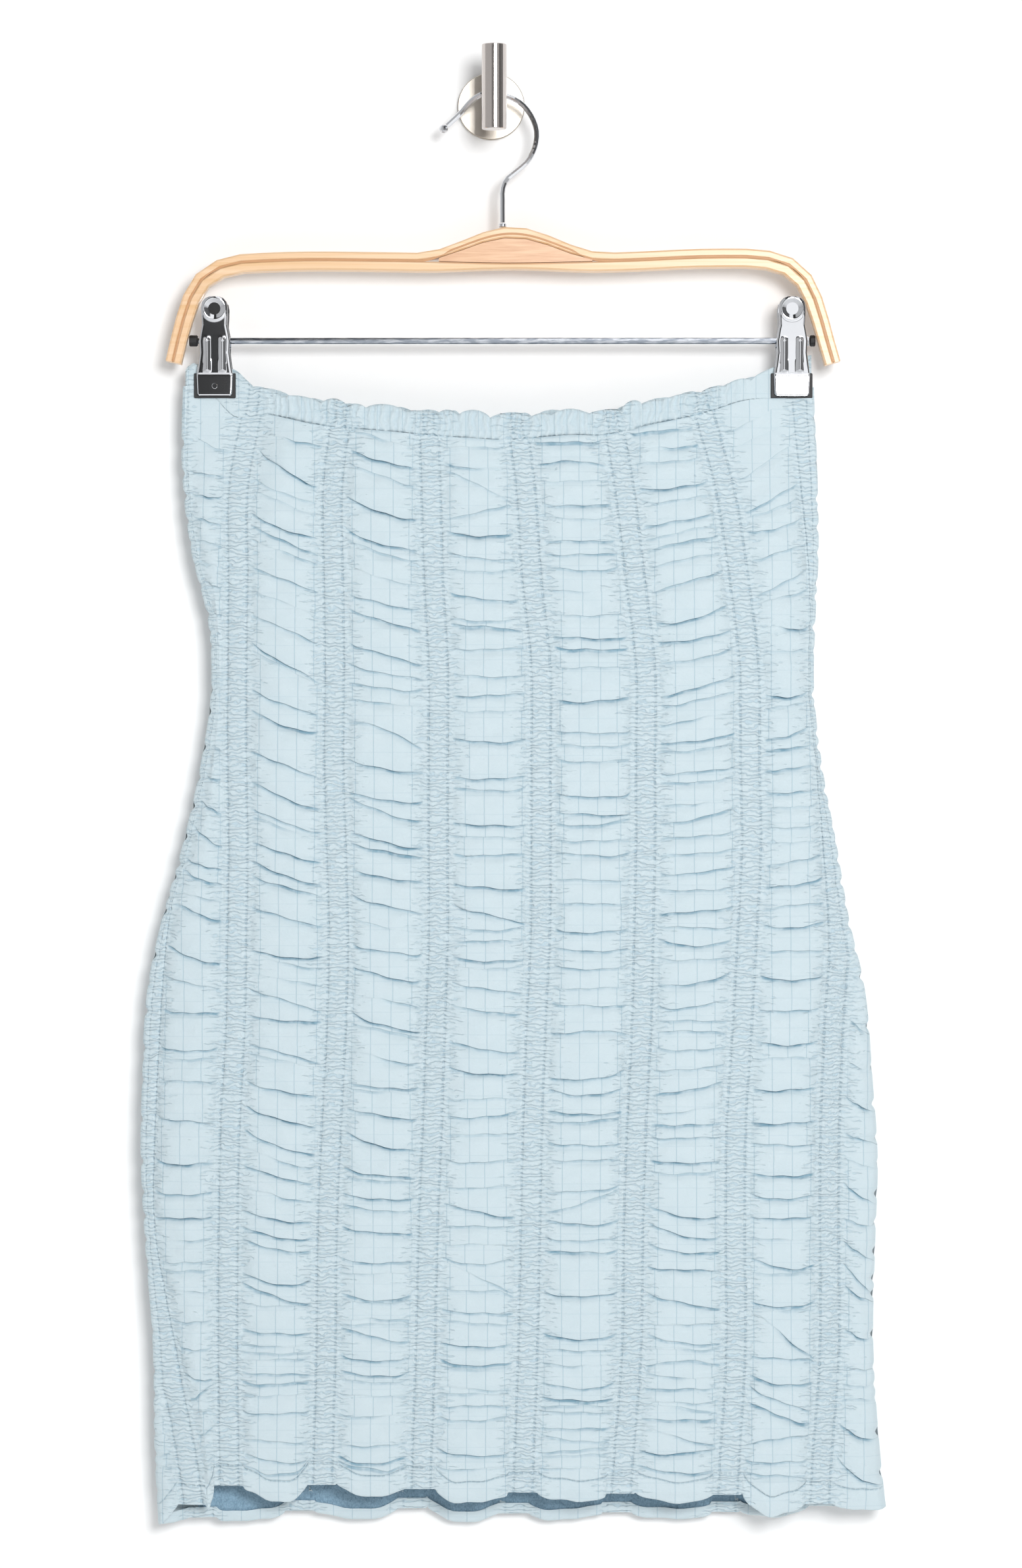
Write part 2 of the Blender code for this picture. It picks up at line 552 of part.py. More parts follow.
def add_lining():
    """The knit band inside the back, from behind its turned hem up into the skirt."""
    solid = bmesh.new()
    hem = (HEM_CORNERS[0] + HEM_CORNERS[1]) / 2 - 3.0
    near, far = [], []
    for x in np.linspace(*LINING_ENDS, LINING_COLUMNS):
        for walls, inset in ((near, GAP), (far, GAP + LINING_WALL)):
            column = []
            for rise in np.linspace(*LINING_RISE, 4):
                z = hem + rise
                depth = float(half_depth(x, z)) - WALL - inset - 0.25
                column.append(solid.verts.new((x, HANG + depth, z)))
            walls.append(column)
    for grid in (near, far):
        for one, two in zip(grid, grid[1:]):
            for i in range(len(one) - 1):
                solid.faces.new((one[i], two[i], two[i + 1], one[i + 1]))
    for i in range(len(near) - 1):
        for row in (0, -1):
            solid.faces.new((near[i][row], near[i + 1][row], far[i + 1][row], far[i][row]))
    for end in (0, -1):
        for i in range(len(near[0]) - 1):
            solid.faces.new((near[end][i], near[end][i + 1], far[end][i + 1], far[end][i]))
    add_piece("lining_back", solid, KNIT)


add_wall_hook()
add_wire()
add_bow()
add_bar()
for which, middle in CLIP_MIDDLES.items():
    add_clip(which, middle)
front_puffs = puff_tables(FRONT_LEANS, seed=4)
back_puffs = puff_tables(BACK_LEANS, seed=9, sides=(front_puffs[0], front_puffs[-1]))
add_cloth("dress_front", -1, FRONT_STRIPS, FRONT_LEANS, FRONT_HEM_STRIPS, FRONT_HEM_PANELS, front_puffs)
add_cloth("dress_back", 1, BACK_STRIPS, BACK_LEANS, BACK_HEM_STRIPS, BACK_HEM_PANELS, back_puffs)
add_lining()
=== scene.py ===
"""Looks of a strapless shirred dress that hangs from a clip hanger on a wall hook.

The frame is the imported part: its origin is the centre of the wall plate's back face, +X is to the
right, +Z is up, and the dress hangs in front of the wall, towards -Y. Sizes are in millimetres and
are turned to metres by MM.
"""

import math

import bmesh
import bpy
import numpy as np
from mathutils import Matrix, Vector


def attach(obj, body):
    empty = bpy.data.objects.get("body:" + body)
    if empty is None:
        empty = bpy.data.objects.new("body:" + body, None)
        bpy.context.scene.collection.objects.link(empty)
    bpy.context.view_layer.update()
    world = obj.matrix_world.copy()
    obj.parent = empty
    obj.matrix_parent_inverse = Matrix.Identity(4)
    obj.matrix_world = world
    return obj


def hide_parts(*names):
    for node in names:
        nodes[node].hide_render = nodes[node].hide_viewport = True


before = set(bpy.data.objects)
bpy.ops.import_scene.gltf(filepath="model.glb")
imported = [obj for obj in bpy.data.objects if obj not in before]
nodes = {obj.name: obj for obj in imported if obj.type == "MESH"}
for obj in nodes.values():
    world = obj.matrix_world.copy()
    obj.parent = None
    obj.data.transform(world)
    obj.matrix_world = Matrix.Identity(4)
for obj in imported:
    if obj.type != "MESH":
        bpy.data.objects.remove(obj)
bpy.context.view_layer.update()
MM = 0.001
HANG = -22.0                  # y of the plane in which the hanger and the dress hang


# Wall hook: a round plate, a thin stem and an upright rod, turned from steel, nickel plated and
# then brushed. The plate is screwed to the wall from behind, so no screw shows.

def linear(colour):
    """sRGB hex as the linear colour with alpha that a shader takes."""
    parts = [int(colour[i:i + 2], 16) / 255 for i in (1, 3, 5)]
    return (*[c / 12.92 if c <= 0.04045 else ((c + 0.055) / 1.055) ** 2.4 for c in parts], 1.0)


def add_node(tree, kind, inputs=(), **settings):
    """Add a shader node. inputs are pairs of a socket and a value or another node's (node, output)."""
    node = tree.nodes.new("ShaderNode" + kind)
    for name, value in settings.items():
        setattr(node, name, value)
    for socket, value in inputs:
        if isinstance(value, tuple) and isinstance(value[0], bpy.types.Node):
            tree.links.new(value[0].outputs[value[1]], node.inputs[socket])
        else:
            node.inputs[socket].default_value = value
    return node


def start_material(name, colour, roughness, metallic=0.0):
    """A new Principled material and its node tree and shader."""
    material = bpy.data.materials.new(name)
    material.use_nodes = True
    tree = material.node_tree
    shader = tree.nodes["Principled BSDF"]
    shader.inputs["Base Color"].default_value = linear(colour)
    shader.inputs["Roughness"].default_value = roughness
    shader.inputs["Metallic"].default_value = metallic
    return material, tree, shader


def add_bump(tree, shader, height, distance, strength=1.0):
    """Link a (node, output) height to the shader's normal; distance is in metres."""
    bump = add_node(tree, "Bump", [("Height", height), ("Distance", distance), ("Strength", strength)])
    tree.links.new(bump.outputs["Normal"], shader.inputs["Normal"])


def stretched_noise(tree, stretch, turn=(0.0, 0.0, 0.0), detail=2.0):
    """Noise in object coordinates whose cells are 1/stretch metres long on each axis."""
    place = add_node(tree, "TexCoord")
    inputs = [("Vector", (place, "Object")), ("Rotation", turn), ("Scale", stretch)]
    turned = add_node(tree, "Mapping", inputs)
    return add_node(tree, "TexNoise", [("Vector", (turned, "Vector")), ("Scale", 1.0), ("Detail", detail)])


def dress_nodes(material, *names):
    """Give CAD nodes this material; their mesh stays as packed."""
    for name in names:
        for place in range(len(nodes[name].data.materials)):
            nodes[name].data.materials[place] = material


# Nickel brushed along slanting strokes on the plate's face
plate_nickel, tree, shader = start_material("brushed nickel plate", "#B9B3AA", 0.3, 1.0)
strokes = stretched_noise(tree, (4000, 4000, 260), turn=(0, math.radians(38), 0))
add_bump(tree, shader, (strokes, "Fac"), 0.00004, 0.5)
dress_nodes(plate_nickel, "wall_plate")

# Nickel brushed round the rod and stem, which smears reflections upright
rod_nickel, tree, shader = start_material("brushed nickel rod", "#CFC8C4", 0.2, 1.0)
strokes = stretched_noise(tree, (700, 700, 9000))
add_bump(tree, shader, (strokes, "Fac"), 0.00003, 0.4)
dress_nodes(rod_nickel, "wall_stem", "wall_rod")


# Hook wire: one bent steel wire, chromed, with a ball on its free end and a ferrule pressed on where
# it is screwed into the bow.

chrome, tree, shader = start_material("polished chrome", "#DADCE0", 0.06, 1.0)
dress_nodes(chrome, "hook_wire", "hook_ball", "hook_ferrule")


# Bow: two plies of pale wood, bent and glued, with a wedge of redder wood let in at the peak, all
# under clear satin varnish.

def two_tone(tree, shader, pattern, low, high, ends=(0.0, 1.0)):
    """Colour the shader by a (node, output) pattern, from one hex to another between two of its values."""
    ramp = add_node(tree, "ValToRGB", [("Fac", pattern)])
    for element, colour, end in zip(ramp.color_ramp.elements, (low, high), ends):
        element.position = end
        element.color = linear(colour)
    tree.links.new(ramp.outputs["Color"], shader.inputs["Base Color"])


# Pale wood, with grain drawn out along the bow
maple, tree, shader = start_material("varnished pale wood", "#F3D7A8", 0.32)
grain = stretched_noise(tree, (9, 260, 520), detail=4)
two_tone(tree, shader, (grain, "Fac"), "#E0B685", "#EDCBA7", (0.3, 0.7))
shader.inputs["Coat Weight"].default_value = 0.15
shader.inputs["Coat Roughness"].default_value = 0.2
dress_nodes(maple, "bow_upper_ply", "bow_lower_ply")

# Redder wood, with its grain slanting across the wedge
cherry, tree, shader = start_material("varnished wedge wood", "#DBAE82", 0.34)
grain = stretched_noise(tree, (60, 200, 900), turn=(0, math.radians(-24), 0), detail=4)
two_tone(tree, shader, (grain, "Fac"), "#CD9A70", "#E2B68D", (0.3, 0.7))
shader.inputs["Coat Weight"].default_value = 0.4
shader.inputs["Coat Roughness"].default_value = 0.2
dress_nodes(cherry, "bow_wedge")

# Glue line: brown glue that fills the seam between the plies, and over the hump runs in the upper ply
BOW_FACE = -28.0              # y of the bow's front
HUMP_MIDDLE = 12.2
HUMP_REACH = 57.5
HUMP_HEIGHT = 14.9            # how far the wedge lifts the upper ply
GLUE_ABOVE = 2.3              # height of the line over the wedge
GLUE_HALF_WIDTH = 0.65
GLUE_PROUD = 0.12             # of the bow's face, where it runs in the upper ply
GLUE_SUNK = 0.32              # how much deeper it lies between the plies
GLUE_STATIONS = 240
# The seam's course: x and height
BOW_ROUTE = (
    (-188.2, -154.3), (-185.0, -140.7), (-181.2, -126.8), (-176.5, -113.9), (-170.6, -105.1),
    (-160.7, -98.7), (-149.0, -95.6), (-131.0, -94.5), (-60.0, -94.3), (12.0, -95.8), (80.0, -94.2),
    (138.0, -92.1), (156.0, -92.5), (172.7, -95.5), (181.6, -100.9), (188.0, -109.4), (193.0, -122.3),
    (198.4, -141.0), (202.4, -154.8),
)

def through(stations, values, at):
    """A smooth curve through a table's values: a cubic with the mean slope at each station."""
    stations, values, at = (np.asarray(item, float) for item in (stations, values, at))
    if stations[0] > stations[-1]:
        stations, values = stations[::-1], values[::-1]
    slopes = np.gradient(values, stations)
    i = np.clip(np.searchsorted(stations, at) - 1, 0, len(stations) - 2)
    step = stations[i + 1] - stations[i]
    t = np.clip((at - stations[i]) / step, 0.0, 1.0)
    rise = (1 + 2 * t) * (1 - t) ** 2 * values[i] + t * t * (3 - 2 * t) * values[i + 1]
    return rise + step * (t * (1 - t) ** 2 * slopes[i] - t * t * (1 - t) * slopes[i + 1])


def ease(t):
    """0 up to t = 0 and 1 from t = 1, smooth between."""
    t = np.clip(t, 0.0, 1.0)
    return t * t * (3 - 2 * t)


def glue_line():
    """Points of a thin bead along the seam: its stations, and three points down across each."""
    route = np.array(BOW_ROUTE)
    along = np.concatenate(([0.0], np.cumsum(np.hypot(*np.diff(route, axis=0).T))))
    spots = np.linspace(0.6, along[-1] - 0.6, GLUE_STATIONS)
    x, z = through(along, route[:, 0], spots), through(along, route[:, 1], spots)
    hump = np.cos(np.clip((x - HUMP_MIDDLE) / HUMP_REACH, -1, 1) * math.pi / 2) ** 2
    over = ease(hump / 0.35)
    dx, dz = np.gradient(x), np.gradient(z)
    length = np.hypot(dx, dz)
    rows = []
    for across, back in ((1, 0.1), (0, 0.0), (-1, 0.1)):
        up = HUMP_HEIGHT * hump + GLUE_ABOVE * over + across * GLUE_HALF_WIDTH
        y = BOW_FACE - GLUE_PROUD + GLUE_SUNK * (1 - over) + back
        rows.append(np.stack((x - dz / length * up, y, z + dx / length * up), axis=1))
    return np.stack(rows, axis=1)


def lay_grid(name, points, material, uvs=None, values=None):
    """A smooth sheet that rides on the root, through points by columns to the right and rows down.

    uvs are places on the flat cloth in millimetres, and values are what the material reads at a point.
    """
    across, down = points.shape[:2]
    solid = bmesh.new()
    bmesh.ops.create_grid(solid, x_segments=across - 1, y_segments=down - 1, size=1.0)
    mesh = bpy.data.meshes.new(name)
    solid.to_mesh(mesh)
    solid.free()
    # Each point's column and row, from where it stands in the square that was made
    spots = np.zeros(len(mesh.vertices) * 3)
    mesh.vertices.foreach_get("co", spots)
    spots = spots.reshape(-1, 3)
    column = np.rint((spots[:, 0] + 1) / 2 * (across - 1)).astype(int)
    row = np.rint((1 - spots[:, 1]) / 2 * (down - 1)).astype(int)
    mesh.vertices.foreach_set("co", (points[column, row] * MM).ravel())
    if uvs is not None:
        corners = np.zeros(len(mesh.loops), int)
        mesh.loops.foreach_get("vertex_index", corners)
        layer = mesh.uv_layers.new(name="cloth_mm")
        layer.data.foreach_set("uv", uvs[column, row][corners].ravel())
    for label, value in (values or {}).items():
        attribute = mesh.attributes.new(label, "FLOAT", "POINT")
        attribute.data.foreach_set("value", value[column, row].astype(np.float32))
    mesh.update()
    mesh.shade_smooth()
    mesh.materials.append(material)
    piece = bpy.data.objects.new(name, mesh)
    bpy.context.scene.collection.objects.link(piece)
    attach(piece, "root")
    return piece


glue, tree, shader = start_material("brown wood glue", "#C08A5C", 0.45)
grain = stretched_noise(tree, (60, 300, 300), detail=3)
two_tone(tree, shader, (grain, "Fac"), "#B27F52", "#CE9A6A")
lay_grid("bow_glue_line", glue_line(), glue)


# Bar: a chromed steel bar pushed through both arms of the bow, held by a black rubber bush at each
# end and a loose collar at the right.

dress_nodes(chrome, "collar_right")

# Chrome whose polish is cloudy in patches drawn out along the bar; the patches' bluish greys also paint the
# mottled reflection on the bar
bar_chrome, tree, shader = start_material("chrome with cloudy patches and painted reflection", "#DADCE0", 0.1, 1.0)
clouds_and_reflection = stretched_noise(tree, (130, 300, 700), detail=4)
two_tone(tree, shader, (clouds_and_reflection, "Fac"), "#A9B1BD", "#DDE2EA", (0.42, 0.6))
dress_nodes(bar_chrome, "bar")

# Matt black rubber of the bushes and the clips' pads
rubber, tree, shader = start_material("black rubber", "#19191B", 0.55)
dress_nodes(rubber, "bush_left", "bush_right")


# Clips: pressed chromed plates with rubber pads, sprung round the bar, which pinch the casing.

# A clip's plate, from its thumb end to its jaw: height, half width and distance from the hanging plane
CLIP_PLATE = (
    (-116.0, 2.8, 9.2), (-117.0, 5.4, 9.1), (-119.2, 7.3, 8.8), (-122.5, 8.0, 8.4), (-127.5, 7.9, 7.8),
    (-133.0, 7.6, 6.9), (-138.0, 8.6, 6.1), (-142.0, 9.2, 5.5), (-149.0, 8.9, 4.9), (-156.0, 9.8, 4.3),
    (-161.5, 10.7, 3.75), (-173.0, 10.2, 3.75), (-174.2, 9.2, 3.75),
)
CLIP_MIDDLES = {"left": -163.4, "right": 177.9}
FACE_ENDS = (-115.9, -174.2)  # top and foot of the plate's face
SHEET_METAL = 1.0
DISH = (-123.1, 5.8, 1.7)     # the thumb dish's height, radius and depth
RIB = (4.6, 1.7, 1.3)         # a stiffening rib's distance from the middle, half width and height
RIB_ENDS = (-160.5, -140.0)
JAW_TOP = -161.8              # the crease above the jaw, from which its narrower rim starts
JAW_RIM = 0.8
PLATE_RIM = 1.6
PRESSING = (41, 121)          # columns and rows of the pressed face


def pressed_face(middle, side):
    """Points of a clip plate's face, with its thumb dish, two ribs and rolled edges pressed in."""
    columns, rows = PRESSING
    top, foot = FACE_ENDS
    table = np.array(CLIP_PLATE)[::-1]
    z = np.linspace(top - 0.2, foot + 0.1, rows)[None, :]
    half = np.interp(z, table[:, 0], table[:, 1])
    away = np.interp(z, table[:, 0], table[:, 2]) + SHEET_METAL
    u = np.sin(np.linspace(-math.pi / 2, math.pi / 2, columns))[:, None] * half
    z = np.broadcast_to(z, u.shape)
    to_edge = np.minimum(half - np.abs(u), np.minimum(z - foot, top - z))
    rim = np.where(z < JAW_TOP, JAW_RIM, PLATE_RIM)
    relief = 0.1 + 0.75 * np.sqrt(np.clip(1 - (1 - np.clip(to_edge / rim, 0, 1)) ** 2, 0, 1))
    # The dish, with a raised lip round it
    from_dish = np.hypot(u, z - DISH[0]) / DISH[1]
    relief = relief - DISH[2] * np.clip(1 - from_dish ** 2, 0, 1) ** 1.4
    relief = relief + 0.35 * np.exp(-((from_dish - 1.08) / 0.12) ** 2)
    # The two ribs, thickest at their upper ends
    ends = ease((RIB_ENDS[1] - z) / 1.2) * ease((z - RIB_ENDS[0]) / 1.2)
    beads = np.exp(-((z - RIB_ENDS[1] + 0.8) / 0.9) ** 2)
    rib = np.clip(1 - (np.abs(np.abs(u) - RIB[0]) / RIB[1]) ** 2, 0, 1)
    relief = relief + np.sqrt(rib) * RIB[2] * ends + 0.5 * rib * beads
    relief = relief - 0.35 * np.exp(-((z - JAW_TOP) / 0.5) ** 2)
    points = np.stack((middle + u, HANG + side * (away + relief), z), axis=2)
    return points if side < 0 else points[::-1]


for which, middle in CLIP_MIDDLES.items():
    dress_nodes(chrome, *(f"clip_{which}_{part}" for part in ("front", "back", "spring", "rivet")))
    dress_nodes(rubber, f"clip_{which}_front_pad", f"clip_{which}_back_pad")
    for part, side in (("front", -1), ("back", 1)):
        lay_grid(f"clip_{which}_{part}_face", pressed_face(middle, side), chrome)


# Front of the dress: one piece of crinkled cotton, gathered on eight pairs of elastic stitch lines
# that run from top to hem, so that it stands in uneven puffs between them. Its hem is turned up
# inside and stitched through.

HALF_SEAM = 0.15              # half the gap between front and back at the side folds
WALL = 1.3                    # thickness of the cloth at the stitched strips
SIDE_PUFF = 1.5               # the outline is measured over the puffs, and the strips lie under it
STRIP_HALF_WIDTH = 8.6
STITCH_OFFSET = 5.6           # from a strip's middle to each of its two stitch lines
LEAST_COLUMN = 1.3            # the narrowest that a strip or panel gets where it turns round the side
CASING = 13.5                 # depth of the turned casing at the top
HEM_TURN = 12.0               # from the hem's edge up to its stitching
ROUNDING = 3.2                # of the section at the side folds: 2 is an ellipse, more is flatter
JAW_HALF_WIDTH = 17.0         # cloth this near a clip's middle is pinched flat
JAW_FOOT = -179.0
PINCH_SPREAD = 32.0           # how far beside the jaw the cloth takes to open
PINCH_DROP = 70.0             # and below it

# The dress's outline: height, left edge, right edge and half depth at the middle
OUTLINE = (
    (-150.0, -181.5, 190.5, 5.6), (-173.0, -182.6, 191.3, 6.2), (-220.0, -183.0, 193.3, 9.0),
    (-267.0, -177.5, 194.0, 11.0), (-306.0, -168.0, 192.2, 12.2), (-345.0, -165.8, 191.3, 13.0),
    (-392.0, -172.1, 196.0, 13.5), (-439.0, -182.6, 204.6, 14.0), (-486.0, -195.6, 212.6, 14.0),
    (-520.0, -202.9, 220.5, 14.0), (-579.0, -206.8, 226.0, 14.0), (-625.0, -207.6, 229.0, 14.0),
    (-673.0, -205.2, 227.6, 13.5), (-735.0, -200.5, 226.4, 13.0), (-798.0, -199.4, 230.3, 13.0),
    (-850.0, -196.5, 236.0, 13.5),
)

# The top edge from one side to the other: x and height
TOP_EDGE = (
    (-190.0, -158.0), (-176.0, -154.5), (-166.0, -160.0), (-152.0, -172.5), (-131.0, -172.0),
    (-108.0, -177.0), (-61.0, -182.0), (-14.0, -186.0), (4.0, -187.0), (45.0, -184.3), (68.0, -184.0),
    (91.0, -178.5), (126.0, -171.0), (150.0, -163.5), (176.0, -160.5), (191.0, -155.5), (197.0, -158.0),
)

# Middle lines of the front's eight stitched strips: height, then x of strips 0 to 7
FRONT_STRIPS = (
    (-150.0, -190, -138.0, -86.5, -37.6, 12.5, 68.5, 121.0, 183.0),
    (-174.5, -190, -140.5, -87.7, -37.2, 13.7, 70.1, 124.1, 184.7),
    (-229.0, -190, -149.6, -93.8, -35.6, 20.3, 78.6, 138.0, 190.5),
    (-281.0, -187, -149.8, -93.2, -34.1, 23.8, 84.8, 146.2, 196.0),
    (-335.0, -176, -150.4, -92.5, -31.3, 29.3, 91.0, 152.4, 197.0),
    (-389.0, -180, -150.4, -93.0, -31.3, 29.3, 91.0, 152.8, 200.0),
    (-443.0, -191, -149.6, -91.4, -31.3, 29.3, 91.0, 153.6, 204.0),
    (-490.0, -199, -150.2, -90.2, -31.2, 29.0, 90.0, 151.2, 206.0),
    (-548.0, -203, -151.2, -91.4, -32.9, 26.4, 88.6, 148.1, 202.5),
    (-605.0, -206, -154.2, -94.3, -34.8, 24.4, 85.8, 144.6, 200.2),
    (-660.0, -207, -155.3, -96.6, -37.0, 23.2, 84.0, 144.0, 199.8),
    (-742.0, -192, -155.7, -97.6, -38.9, 21.5, 82.6, 144.2, 199.8),
    (-808.0, -179, -154.9, -99.3, -41.1, 19.2, 77.6, 140.4, 195.1),
    (-850.0, -174, -154.7, -100.0, -42.0, 18.0, 75.0, 138.5, 193.0),
)

# The hem's heights at the two corners, then at each strip (drawn up) and in each panel (hanging low)
HEM_CORNERS = (-841.5, -831.0)
FRONT_HEM_STRIPS = (-829.0, -817.5, -816.7, -819.0, -821.0, -821.7, -822.5, -828.3)
FRONT_HEM_PANELS = (-836.0, -829.5, -826.4, -823.0, -827.6, -826.6, -826.8, -834.5, -832.5)

# Where a tuck is deep: across the panel, only its left or right half, or across with its middle
# hanging lower or standing higher than its ends
FULL, LEFT, RIGHT, LOW, HIGH = range(5)

